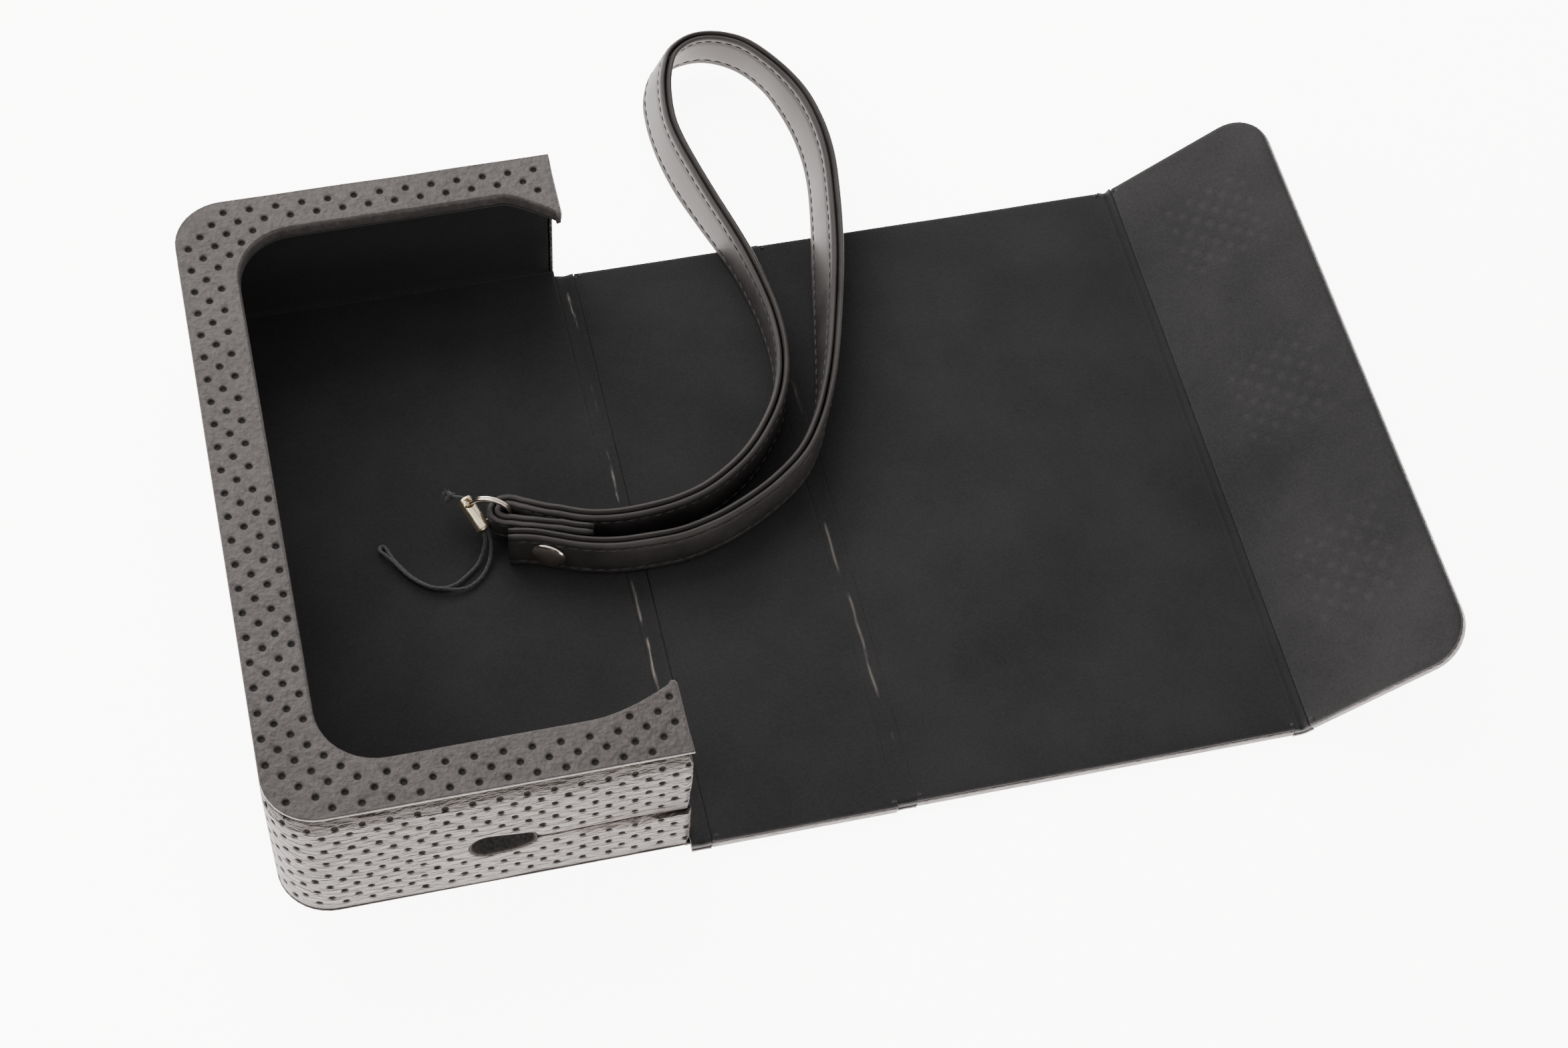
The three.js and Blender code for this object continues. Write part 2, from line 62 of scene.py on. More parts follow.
# ---- the frame, in millimetres


def box(node):
    """Lowest and highest corner of a CAD node, in millimetres."""
    low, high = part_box(node)
    return low / MM, high / MM


def joint_place(name):
    """A joint's point, in millimetres."""
    for joint in frame["joints"]:
        if joint["name"] == name:
            return Vector(joint["pos_m"]) / MM
    raise KeyError(name)


tray_low, tray_high = box("wall_skin")
LEFT, RIGHT = tray_low.x, tray_high.x
FRONT, BACK = tray_low.y, tray_high.y
LIP_TOP = box("lip_skin")[1].z
CORNER = 8.0
PANEL_TOP = box("spine_lining")[1].z
TONGUE_RAISE = math.radians(36)
TONGUE_HINGE = joint_place("tongue_hinge")
TONGUE_REACH = 29.6

# Perforation: a rectangular lattice of holes, with one more at each rectangle's centre
PITCH = (4.07, 4.15)
WALL_PITCH = (3.85, 3.75)
LIP_TURN = math.radians(-0.5)
HOLE_RADIUS = 0.5
HOLE_RIM = 0.26
HOLE_STEPS = ((0.13, 0.05, 0), (0.0, 0.17, 0), (-0.1, 0.4, 1))
HOLE_DEPTH = 0.44
HOLE_SIDES = 12

# ---- camera, light and floor


def make_camera():
    data = bpy.data.cameras.new("camera")
    data.sensor_width = 36
    data.lens = 67.37
    data.clip_start = 0.01
    camera = bpy.data.objects.new("camera", data)
    camera.location = (-0.02125, -0.24208, 0.39167)
    camera.rotation_euler = [math.radians(a) for a in (32.59, -3.05, -13.26)]
    bpy.context.scene.collection.objects.link(camera)
    bpy.context.scene.camera = camera


def make_area_light(name, place, target, size, power):
    data = bpy.data.lights.new(name, "AREA")
    data.size = size
    data.energy = power
    light = bpy.data.objects.new(name, data)
    light.location = place
    aim = Vector(target) - Vector(place)
    light.rotation_euler = aim.to_track_quat("-Z", "Y").to_euler()
    bpy.context.scene.collection.objects.link(light)


# The floor is lit from below, as a light table is
FLOOR_GLOW = 9.0


def make_studio():
    make_area_light("key", (-0.1, 0.55, 0.6), (0.03, 0.02, 0), 0.7, 9.0)
    make_area_light("left", (-0.65, 0.05, 0.4), (0.03, 0, 0.01), 0.5, 2.8)
    world = bpy.data.worlds.new("studio")
    world.use_nodes = True
    background = world.node_tree.nodes["Background"]
    background.inputs["Color"].default_value = (1.0, 0.99, 0.98, 1)
    background.inputs["Strength"].default_value = 1.0
    bpy.context.scene.world = world

    half = 3.0
    mesh = bpy.data.meshes.new("floor")
    corners = [(-half, -half, 0), (half, -half, 0), (half, half, 0), (-half, half, 0)]
    mesh.from_pydata(corners, [], [(0, 1, 2, 3)])
    floor = bpy.data.objects.new("floor", mesh)
    bpy.context.scene.collection.objects.link(floor)
    material = bpy.data.materials.new("floor")
    material.use_nodes = True
    shader = material.node_tree.nodes["Principled BSDF"]
    shader.inputs["Base Color"].default_value = (0.93, 0.925, 0.92, 1)
    shader.inputs["Roughness"].default_value = 0.6
    shader.inputs["Emission Color"].default_value = (1.0, 0.965, 0.94, 1)
    shader.inputs["Emission Strength"].default_value = FLOOR_GLOW
    mesh.materials.append(material)


# ---- material helpers


class Nodes:
    """A material's node tree, with short calls for the nodes used here."""

    def __init__(self, name):
        self.material = bpy.data.materials.new(name)
        self.material.use_nodes = True
        self.tree = self.material.node_tree
        self.shader = self.tree.nodes["Principled BSDF"]
        self.coordinates = self.add("TexCoord").outputs["Object"]

    def add(self, kind, **inputs):
        """A new node, with its inputs given by name."""
        node = self.tree.nodes.new("ShaderNode" + kind)
        for name, value in inputs.items():
            self.give(node.inputs[name], value)
        return node

    def give(self, socket, value):
        """Sets an input to a value, or links it to another node's output."""
        if isinstance(value, bpy.types.NodeSocket):
            self.tree.links.new(value, socket)
        else:
            socket.default_value = value

    def set(self, **values):
        for name, value in values.items():
            self.shader.inputs[name.replace("_", " ")].default_value = value

    def mapped(self, scale, turn=0.0):
        node = self.add("Mapping", Vector=self.coordinates, Rotation=(0, 0, turn), Scale=scale)
        return node.outputs["Vector"]

    def noise(self, scale, detail=3.0, rough=0.5, vector=None):
        node = self.add("TexNoise", Vector=vector or self.coordinates, Scale=scale, Detail=detail,
                        Roughness=rough)
        return node.outputs["Fac"]

    def voronoi(self, scale, output="Distance"):
        return self.add("TexVoronoi", Vector=self.coordinates, Scale=scale).outputs[output]

    def math(self, operation, *values, clamp=False):
        node = self.add("Math")
        node.operation = operation
        node.use_clamp = clamp
        for socket, value in zip(node.inputs, values):
            self.give(socket, value)
        return node.outputs[0]

    def ramp(self, value, *stops):
        node = self.add("ValToRGB", Fac=value)
        elements = node.color_ramp.elements
        while len(elements) < len(stops):
            elements.new(0.5)
        for element, (place, colour) in zip(elements, stops):
            element.position = place
            element.color = (*colour, 1)
        return node.outputs["Color"]

    def mix(self, factor, a, b):
        node = self.add("Mix")
        node.data_type = "RGBA"
        for name, value in (("Factor", factor), ("A", a), ("B", b)):
            socket = [s for s in node.inputs if s.name == name and s.enabled][0]
            self.give(socket, (*value, 1) if isinstance(value, tuple) else value)
        return [s for s in node.outputs if s.enabled][0]

    def axis(self, index):
        return self.add("SeparateXYZ", Vector=self.coordinates).outputs[index]

    def attribute(self, name):
        node = self.add("Attribute")
        node.attribute_name = name
        return node.outputs["Fac"]

    def bump(self, *layers):
        """Bump from (height, strength, distance) layers, each on top of the one before."""
        under = {}
        for height, strength, distance in layers:
            node = self.add("Bump", Height=height, Strength=strength, Distance=distance, **under)
            under = {"Normal": node.outputs["Normal"]}
        self.give(self.shader.inputs["Normal"], under["Normal"])

    def colour(self, source):
        self.give(self.shader.inputs["Base Color"], source)

    def roughness(self, source):
        self.give(self.shader.inputs["Roughness"], source)


def leatherette(name, dark, light, stretch, depth, rim=None):
    """Wrinkled leatherette. stretch draws the wrinkles out along the axes it is small on, and rim
    is a height above which the colour darkens, painted shade where the wall curves in under the lip."""
    nodes = Nodes(name)
    wrinkle = nodes.noise(1.0, 4.0, 0.6, nodes.mapped(stretch, 0.12))
    grain = nodes.voronoi(1500.0)
    mottle = nodes.noise(60.0, 3.0)
    # The colour follows the wrinkles and is darker in their troughs: painted shade in the creases, mixed
    # with the leather's own mottled tone
    shade = nodes.math("MULTIPLY_ADD", wrinkle, 0.55, nodes.math("MULTIPLY", mottle, 0.45))
    colour = nodes.ramp(shade, (0.37, dark), (0.61, light))
    # Painted shade: above the rim height the colour darkens to half the dark tone, for the wall's top
    # band that curves in under the lip
    if rim:
        rise = nodes.math("MULTIPLY_ADD", mottle, 0.004, nodes.axis(2))
        above = nodes.math("SUBTRACT", rise, rim)
        share = nodes.math("MULTIPLY", above, 180.0, clamp=True)
        colour = nodes.mix(share, colour, tuple(c * 0.5 for c in dark))
    nodes.colour(colour)
    nodes.roughness(nodes.math("MULTIPLY_ADD", wrinkle, -0.16, 0.58))
    nodes.bump((wrinkle, 1.0, depth), (grain, 0.45, 0.00009))
    nodes.set(Specular_IOR_Level=0.4, Specular_Tint=(1.0, 0.9, 0.86, 1))
    return nodes.material


def hole_material():
    nodes = Nodes("perforation")
    # Near-black: painted shade inside the perforation holes, on their deepest ring and bottom. The
    # slot's cut edge takes it too, as its own dark edge colour
    fleck = nodes.noise(1800.0, 2.0)
    nodes.colour(nodes.ramp(fleck, (0.3, (0.013, 0.0115, 0.0115)), (0.8, (0.03, 0.027, 0.026))))
    nodes.set(Roughness=0.95, Specular_IOR_Level=0.1)
    return nodes.material


def suede(name, dark, light, imprinted=False, creased=False):
    """Napped microsuede with lint. imprinted lightens what the wall's holes leave pressed in, and
    creased wears it down to its backing."""
    nodes = Nodes(name)
    nap = nodes.noise(2600.0, 2.0, 0.7)
    cloud = nodes.noise(38.0, 4.0, 0.6)
    shade = nodes.math("MULTIPLY_ADD", cloud, 0.6, nodes.math("MULTIPLY", nap, 0.4))
    colour = nodes.ramp(shade, (0.35, dark), (0.68, light))
    if imprinted:
        share = nodes.math("MULTIPLY", nodes.attribute("imprint"), 0.16)
        colour = nodes.mix(share, colour, (0.075, 0.071, 0.07))
    if creased:
        worn = nodes.attribute("worn")
        gaps = nodes.noise(1.0, 4.0, 0.65, nodes.mapped((500.0, 70.0, 1.0)))
        fray = nodes.math("MULTIPLY", worn, nodes.ramp(gaps, (0.45, (0, 0, 0)), (0.6, (1, 1, 1))))
        colour = nodes.mix(fray, colour, (0.3, 0.27, 0.24))
    cell = nodes.voronoi(160.0)
    chance = nodes.voronoi(160.0, output="Color")
    near = nodes.math("LESS_THAN", cell, 0.035)
    rare = nodes.math("GREATER_THAN", chance, 0.93)
    lint = nodes.math("MULTIPLY", near, rare)
    nodes.colour(nodes.mix(nodes.math("MULTIPLY", lint, 0.75), colour, (0.45, 0.43, 0.4)))
    nodes.bump((nap, 0.5, 0.00012), (cloud, 0.2, 0.0004))
    nodes.set(Roughness=0.96, Specular_IOR_Level=0.15, Sheen_Weight=0.12, Sheen_Roughness=0.5)
    return nodes.material


def strap_leather(name):
    nodes = Nodes(name)
    grain = nodes.voronoi(2100.0)
    mottle = nodes.noise(140.0, 4.0, 0.6)
    nodes.colour(nodes.ramp(mottle, (0.3, (0.017, 0.0155, 0.0153)), (0.72, (0.033, 0.0298, 0.029))))
    nodes.roughness(nodes.math("MULTIPLY_ADD", mottle, 0.18, 0.5))
    nodes.bump((mottle, 0.25, 0.0002), (grain, 0.3, 0.00005))
    nodes.set(Specular_IOR_Level=0.26, Specular_Tint=(1.0, 0.92, 0.88, 1))
    return nodes.material


def thread(name, dark, light):
    nodes = Nodes(name)
    twist = nodes.noise(1.0, 2.0, 0.6, nodes.mapped((2600.0, 2600.0, 5200.0), 0.6))
    nodes.colour(nodes.ramp(twist, (0.3, dark), (0.75, light)))
    nodes.bump((twist, 0.6, 0.00012))
    nodes.set(Roughness=0.8, Sheen_Weight=0.2)
    return nodes.material


def nickel(name, base, roughness=0.1):
    nodes = Nodes(name)
    smear = nodes.noise(420.0, 4.0, 0.6)
    scratch = nodes.noise(1.0, 3.0, 0.7, nodes.mapped((5200.0, 700.0, 2600.0), 0.4))
    low = tuple(c * 0.86 for c in base)
    nodes.colour(nodes.ramp(smear, (0.3, low), (0.7, base)))
    nodes.roughness(nodes.math("MULTIPLY_ADD", smear, 0.22, roughness))
    nodes.bump((scratch, 0.12, 0.00003))
    nodes.set(Metallic=1.0)
    return nodes.material


def grey_board(name):
    nodes = Nodes(name)
    fibre = nodes.noise(1.0, 4.0, 0.7, nodes.mapped((900.0, 260.0, 2600.0)))
    nodes.colour(nodes.ramp(fibre, (0.3, (0.24, 0.22, 0.19)), (0.7, (0.36, 0.33, 0.29))))
    nodes.bump((fibre, 0.4, 0.0001))
    nodes.set(Roughness=0.9)
    return nodes.material


# ---- mesh helpers


def make_piece(name, verts, faces, materials, indices=None, matrix=None):
    """A smooth-shaded mesh object from points in millimetres."""
    mesh = bpy.data.meshes.new(name)
    mesh.from_pydata([tuple(v) for v in verts], [], faces)
    if matrix is not None:
        mesh.transform(matrix)
    mesh.transform(Matrix.Scale(MM, 4))
    for material in materials:
        mesh.materials.append(material)
    if indices is not None:
        mesh.polygons.foreach_set("material_index", indices)
    mesh.polygons.foreach_set("use_smooth", [True] * len(mesh.polygons))
    mesh.validate()
    mesh.update()
    piece = bpy.data.objects.new(name, mesh)
    bpy.context.scene.collection.objects.link(piece)
    return piece


def outward(piece):
    """Turns every face of a closed piece outward."""
    work = bmesh.new()
    work.from_mesh(piece.data)
    bmesh.ops.recalc_face_normals(work, faces=work.faces)
    work.to_mesh(piece.data)
    work.free()


def flat_normals(piece):
    """Keeps broad faces flat-looking beside the small rounded ones."""
    modifier = piece.modifiers.new("weighted", "WEIGHTED_NORMAL")
    modifier.mode = "FACE_AREA"
    modifier.weight = 50
    modifier.keep_sharp = True


def settle(piece, body, slot, *nodes):
    """Says which body a piece rides on and hides the CAD nodes it stands for; slot is not used."""
    if nodes:
        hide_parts(*nodes)
    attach(piece, body)


def add_closed(name, shape, material, body, slot, *nodes):
    """A closed piece of one material, from its points and faces."""
    piece = make_piece(name, *shape, [material])
    outward(piece)
    settle(piece, body, slot, *nodes)
    return piece


def add_skin(name, shape, materials, matrix, body, *nodes):
    """Perforated leatherette, from what sheet_body returns."""
    piece = make_piece(name, *shape[:2], materials, shape[2], matrix)
    outward(piece)
    flat_normals(piece)
    settle(piece, body, "leatherette", *nodes)


def joined(shapes):
    """One list of points and one of faces, from several bodies' own."""
    verts, faces = [], []
    for new_verts, new_faces in shapes:
        faces += [tuple(v + len(verts) for v in face) for face in new_faces]
        verts += new_verts
    return verts, faces


def arc(cx, cy, radius, start, end, steps=10):
    points = []
    for i in range(steps + 1):
        angle = math.radians(start + (end - start) * i / steps)
        points.append((cx + math.cos(angle) * radius, cy + math.sin(angle) * radius))
    return points


def spread(points, step):
    """The closed outline with long edges divided to about one step."""
    dense = []
    for i, (x0, y0) in enumerate(points):
        x1, y1 = points[(i + 1) % len(points)]
        count = max(1, round(math.hypot(x1 - x0, y1 - y0) / step))
        for k in range(count):
            dense.append((x0 + (x1 - x0) * k / count, y0 + (y1 - y0) * k / count))
    return dense


def inset(points, amounts):
    """The anticlockwise closed outline moved inward, by one amount or one for each point."""
    moved = []
    count = len(points)
    if isinstance(amounts, (int, float)):
        amounts = [amounts] * count
    for i in range(count):
        amount = amounts[i]
        ax, ay = points[i - 1]
        bx, by = points[i]
        cx, cy = points[(i + 1) % count]
        first = Vector((bx - ax, by - ay)).normalized()
        second = Vector((cx - bx, cy - by)).normalized()
        normal = Vector((-first.y - second.y, first.x + second.x))
        if normal.length < 1e-6:
            normal = Vector((-first.y, first.x))
        normal.normalize()
        lean = max(0.5, normal.dot(Vector((-first.y, first.x))))
        moved.append((bx + normal.x * amount / lean, by + normal.y * amount / lean))
    return moved


def rounded_rectangle(x0, x1, y0, y1, left, right):
    """Anticlockwise, with its left and right corners rounded by those radii."""
    return (
        arc(x0 + left, y0 + left, left, 180, 270)
        + arc(x1 - right, y0 + right, right, -90, 0)
        + arc(x1 - right, y1 - right, right, 0, 90)
        + arc(x0 + left, y1 - left, left, 90, 180)
    )


def without_repeats(points):
    kept = []
    for point in points:
        if not kept or math.dist(point, kept[-1]) > 1e-3:
            kept.append(point)
    if math.dist(kept[0], kept[-1]) < 1e-3:
        kept.pop()
    return kept


def inside(point, points):
    x, y = point
    odd = False
    for i, (x0, y0) in enumerate(points):
        x1, y1 = points[i - 1]
        if (y0 > y) != (y1 > y) and x < (x1 - x0) * (y - y0) / (y1 - y0) + x0:
            odd = not odd
    return odd


def edge_distance(point, points):
    """Distance from a point to the closed outline."""
    best = 1e9
    px, py = point
    for i, (x0, y0) in enumerate(points):
        x1, y1 = points[i - 1]
        dx, dy = x1 - x0, y1 - y0
        along = dx * dx + dy * dy
        t = 0 if along < 1e-12 else max(0, min(1, ((px - x0) * dx + (py - y0) * dy) / along))
        best = min(best, math.hypot(px - x0 - t * dx, py - y0 - t * dy))
    return best


def circle(centre, radius):
    """The corners that stand for a circle round a hole."""
    angles = [2 * math.pi * k / HOLE_SIDES for k in range(HOLE_SIDES)]
    return [(centre[0] + math.cos(a) * radius, centre[1] + math.sin(a) * radius) for a in angles]


def lattice(points, pattern):
    """Hole centres that lie well inside an outline. pattern is (pitches, turn, one hole)."""
    (pitch_u, pitch_v), turn, origin = pattern
    xs, ys = zip(*points)
    low, high = Vector((min(xs), min(ys))), Vector((max(xs), max(ys)))
    reach = int((high - low).length / min(pitch_u, pitch_v)) + 4
    around = (low + high) / 2
    rotation = Matrix.Rotation(turn, 2)
    start = rotation.inverted() @ (around - Vector(origin))
    first_row = round(start.y / pitch_v * 2)
    first_column = round(start.x / pitch_u)
    found = []
    for row in range(first_row - 2 * reach, first_row + 2 * reach):
        for column in range(first_column - reach, first_column + reach):
            flat = Vector(((column + 0.5 * (row % 2)) * pitch_u, row * pitch_v / 2))
            x, y = Vector(origin) + rotation @ flat
            if not (low.x < x < high.x and low.y < y < high.y):
                continue
            if inside((x, y), points) and edge_distance((x, y), points) > HOLE_RADIUS + HOLE_RIM:
                found.append((x, y))
    return found


def fill(points, holes=(), extra=()):
    """Triangles inside an outline. Returns points, triangles, the outline's and each hole's points."""
    coords = [Vector(p) for p in points]
    edges = [(i, (i + 1) % len(points)) for i in range(len(points))]
    owner = [-1] * len(points)
    for index, hole in enumerate(holes):
        start = len(coords)
        coords += [Vector(p) for p in circle(hole, HOLE_RADIUS + HOLE_RIM)]
        edges += [(start + k, start + (k + 1) % HOLE_SIDES) for k in range(HOLE_SIDES)]
        owner += [index] * HOLE_SIDES
    coords += [Vector(p) for p in extra]
    owner += [-1] * len(extra)
    out, _, triangles, from_verts, _, _ = delaunay_2d_cdt(coords, edges, [], 1, 1e-6)
    place = {}
    for new, sources in enumerate(from_verts):
        for source in sources:
            place[source] = new
    owners = [max([owner[s] for s in sources], default=-1) for sources in from_verts]
    kept = []
    for triangle in triangles:
        around = {owners[i] for i in triangle}
        if len(around) > 1 or around == {-1}:
            kept.append(tuple(triangle))
    rim = [place[i] for i in range(len(points))]
    starts = range(len(points), len(points) + len(holes) * HOLE_SIDES, HOLE_SIDES)
    rings = [[place[start + k] for k in range(HOLE_SIDES)] for start in starts]
    return out, kept, rim, rings


def sheet_body(outline, edge, place, pattern=None, extra=()):
    """A closed sheet from a face, an edge and a back. edge(point) gives (inset, depth) steps, from
    the face's border to the back's, and place(u, v, depth) gives a point in space. With a
    pattern, the face is perforated. Returns points, faces, material indices and each point's u and v."""
    steps = [edge(point) for point in outline]
    borders = []
    for step in zip(*steps):
        flat = inset(outline, [amount for amount, _ in step])
        borders.append([(x, y, depth) for (x, y), (_, depth) in zip(flat, step)])
    face = [(x, y) for x, y, _ in borders[0]]
    holes = lattice(face, pattern) if pattern else []
    clear = [p for p in extra if inside(p, face) and edge_distance(p, face) > 0.4]
    near = {}
    for hole in holes:
        near.setdefault(cell_of(hole), []).append(hole)
    clear = [p for p in clear if not crowded(p, near)]
    flat, triangles, rim, rings = fill(face, holes, clear)

    verts = []
    uv = []

    def add(u, v, depth):
        verts.append(place(u, v, depth))
        uv.append((u, v))
        return len(verts) - 1

    for p in flat:
        add(p.x, p.y, 0.0)
    faces = list(triangles)
    marks = [0] * len(faces)
    for centre, ring in zip(holes, rings):
        last = ring
        for wider, depth, mark in HOLE_STEPS:
            now = [add(*point, depth) for point in circle(centre, HOLE_RADIUS + wider)]
            for k in range(HOLE_SIDES):
                j = (k + 1) % HOLE_SIDES
                faces.append((last[k], last[j], now[j], now[k]))
                marks.append(mark)
            last = now
        middle = add(*centre, HOLE_DEPTH)
        for k in range(HOLE_SIDES):
            faces.append((last[k], last[(k + 1) % HOLE_SIDES], middle))
            marks.append(1)

    last = rim
    for border in borders[1:]:
        now = [add(*point) for point in border]
        for k in range(len(border)):
            j = (k + 1) % len(border)
            faces.append((last[k], now[k], now[j], last[j]))
            marks.append(0)
        last = now
    depths = [point[2] for point in borders[-1]]
    back_depth = sum(depths) / len(depths)
    back = [(x, y) for x, y, _ in borders[-1]]
    back_flat, back_triangles, back_rim, _ = fill(back, (), [p for p in extra if inside(p, back)])
    known = dict(zip(back_rim, last))
    for index, p in enumerate(back_flat):
        if index not in known:
            known[index] = add(p.x, p.y, back_depth)
    for a, b, c in back_triangles:
        faces.append((known[c], known[b], known[a]))
        marks.append(0)
    return verts, faces, marks, uv


# Side of the squares that the holes are sorted into, so that near ones are found quickly
CELL = 4.0


def cell_of(point):
    return int(point[0] // CELL), int(point[1] // CELL)


def crowded(point, near):
    """Whether a point lies in or close beside a hole."""
    column, row = cell_of(point)
    for i in (column - 1, column, column + 1):
        for j in (row - 1, row, row + 1):
            for hole in near.get((i, j), ()):
                if math.dist(point, hole) < HOLE_RADIUS + HOLE_RIM + 0.25:
                    return True
    return False


def grid_points(x0, x1, y0, y1, step_x, step_y):
    columns = max(1, round((x1 - x0) / step_x))
    rows = max(1, round((y1 - y0) / step_y))
    return [
        (x0 + (x1 - x0) * i / columns, y0 + (y1 - y0) * j / rows)
        for i in range(1, columns) for j in range(1, rows)
    ]


def grid_over(outline, step):
    xs, ys = zip(*outline)
    return grid_points(min(xs), max(xs), min(ys), max(ys), step, step)


def same_edge(*steps):
    return lambda point: steps


def clamp(value, low=0.0, high=1.0):
    return max(low, min(high, value))


def smooth(value):
    value = clamp(value)
    return value * value * (3 - 2 * value)


def ripple(x, y, size, height, seed=0.0):
    """Soft unevenness of a height, over lengths of about a size."""
    return noise.noise(Vector((x / size, y / size, seed))) * height


class Track:
    """A flat route of straight runs and right-hand turns, as (length, radius) with 0 for straight."""

    def __init__(self, start, heading, *runs):
        self.start = Vector(start)
        self.heading = math.radians(heading)
        self.runs = runs
        self.length = sum(run[0] for run in runs)

    def at(self, distance):
        """The point, and the direction to its left, at a distance along the route."""
        place = self.start.copy()
        heading = self.heading
        for index, (length, radius) in enumerate(self.runs):
            step = min(distance, length) if index < len(self.runs) - 1 else distance
            ahead = Vector((math.cos(heading), math.sin(heading)))
            if radius == 0:
                place += ahead * step
            else:
                right = Vector((ahead.y, -ahead.x))
                centre = place + right * radius
                heading -= step / radius
                place = centre - Vector((math.sin(heading), -math.cos(heading))) * radius
            distance -= step
            if distance <= 1e-9:
                break
        return place, Vector((-math.sin(heading), math.cos(heading)))


# ---- the tray

WALL = 3.0
END_TURN = 0.8
WALL_TRACK = Track(
    (RIGHT, FRONT + WALL), -90,
    (WALL - END_TURN, 0), (math.pi / 2 * END_TURN, END_TURN),
    (RIGHT - LEFT - CORNER - END_TURN, 0), (math.pi / 2 * CORNER, CORNER),
    (BACK - FRONT - 2 * CORNER, 0), (math.pi / 2 * CORNER, CORNER),
    (RIGHT - LEFT - CORNER - END_TURN, 0), (math.pi / 2 * END_TURN, END_TURN),
    (WALL - END_TURN, 0),
)
WALL_START = WALL - END_TURN + math.pi / 2 * END_TURN - END_TURN
WALL_LOW, WALL_HIGH = 0.35, 28.3

SLOT_LEFT, SLOT_RIGHT = -2.7, 7.3
SLOT_MIDDLE = 12.3
SLOT_RADIUS = 2.9
SLOT_RISE = 0.8
SLIT_SLOT_Z, SLIT_END_Z = 12.6, 11.3
SLIT_HALF = 0.17


def front_u(x):
    """Length along the wall's track of a place on the front wall."""
    return WALL_START + RIGHT - x


WALL_PATTERN = (WALL_PITCH, 0.0, (front_u(0.35), 4.8))


def slot_outline():
    """The strap slot in the front wall, clockwise from the slit's top to its bottom."""
    left = front_u(SLOT_LEFT) - SLOT_RADIUS
    right = front_u(SLOT_RIGHT)
    low, high = SLOT_MIDDLE - SLOT_RADIUS, SLOT_MIDDLE + SLOT_RADIUS
    points = [(right, SLIT_SLOT_Z + 0.5), (right + 0.3, high - SLOT_RISE - 0.35),
              (right + 1.1, high - SLOT_RISE + 0.1)]
    points += arc(left, SLOT_MIDDLE, SLOT_RADIUS, 90, -90, 14)
    points += [(right + 3.6, low + 0.35), (right + 1.4, low + 1.15), (right + 0.3, low + 1.75),
               (right, SLIT_SLOT_Z - 0.6)]
    return points


def wall_outline(low, high):
    """The wall unrolled, with the slot and the slit that leads out of it to the front arm's end."""
    end = WALL_TRACK.length
    start_z = SLIT_END_Z
    top = [(0, start_z + SLIT_HALF), (front_u(SLOT_RIGHT) - 0.8, SLIT_SLOT_Z + SLIT_HALF)]
    bottom = [(front_u(SLOT_RIGHT) - 0.8, SLIT_SLOT_Z - SLIT_HALF), (0, start_z - SLIT_HALF)]
    points = [(0, low), (end, low), (end, high), (0, high)]
    return spread(points + top + slot_outline() + bottom, 1.1)


def wall_inset(u, z):
    """How far inside its flat outline the wall's leather lies. It is flat where the tongue closes."""
    foot = 0.35 * max(0.0, 1.3 - z) ** 2
    free = 1 - WALL_TRACK.at(u)[1].x ** 2
    belly = 0.3 * math.sin(math.pi * clamp((z - 1) / 25)) + ripple(u, z * 3.0, 6.0, 0.09)
    shoulder = 2.3 * clamp((z - 24.4) / 3.9) ** 2.2
    flap = smooth((front_u(SLOT_RIGHT) - u) / 16) * clamp(1 - (z - 11.5) / 9)
    lean = 0.55 * flap if z > SLIT_END_Z and u < front_u(SLOT_RIGHT) else 0.0
    return foot - belly * free + shoulder + lean


def wall_place(u, z, depth):
    place, outside = WALL_TRACK.at(u)
    slope = (wall_inset(u, z + 0.1) - wall_inset(u, z - 0.1)) / 0.2
    slope = clamp(slope, -2.5, 2.5)
    tilt = math.hypot(1, slope)
    flat = place - outside * (wall_inset(u, z) + depth / tilt)
    return Vector((flat.x, flat.y, z - depth * slope / tilt))


def add_wall(leather, dark, soft):
    grid = grid_points(0, WALL_TRACK.length, WALL_LOW, WALL_HIGH, 1.25, 1.6)
    edge = same_edge((0.3, 0), (0.1, 0.05), (0.0, 0.2), (0.0, 0.5), (0.1, 0.6))
    body = sheet_body(wall_outline(WALL_LOW, WALL_HIGH), edge, wall_place, WALL_PATTERN, grid)
    add_skin("wall_leather", body, [leather, dark], None, "tray", "wall_skin")

    def lining_place(u, z, depth):
        place, outside = WALL_TRACK.at(u)
        flat = place - outside * (WALL + ripple(u, z, 9.0, 0.12) - depth)
        return Vector((flat.x, flat.y, z))

    outline = wall_outline(1.75, 26.1)
    trimmed = [(clamp(u, WALL + 0.4, WALL_TRACK.length - WALL - 0.4), z) for u, z in outline]
    grid = grid_points(WALL + 1, WALL_TRACK.length - WALL - 1, 1.7, 26.1, 2.2, 2.4)
    edge = same_edge((0.25, 0), (0.05, 0.06), (0.0, 0.3), (0.05, 0.58))
    body = sheet_body(without_repeats(trimmed), edge, lining_place, None, grid)
    add_closed("wall_suede", body[:2], soft, "tray", "suede", "wall_lining")

    rings = []
    outline = without_repeats(spread(list(reversed(slot_outline())), 0.5))
    section = ((0.06, 0.12), (0.3, 0.2), (0.4, 0.5), (0.4, 2.7), (0.3, 3.0), (0.0, 3.05), (-0.05, 0.5))
    for step, depth in section:
        moved = inset(outline, step)
        rings.append([wall_place(u, z, 0.0) + slot_inward(u, depth) for u, z in moved])
    add_closed("slot_edge", closed_loft(rings), dark, "tray", "leatherette")


def slot_inward(u, depth):
    outside = WALL_TRACK.at(u)[1]
    return Vector((-outside.x * depth, -outside.y * depth, 0))


def closed_loft(rings):
    """A body through rings of points whose last ring joins its first."""
    return [point for ring in rings for point in ring], tube_faces(len(rings), len(rings[0]), True)


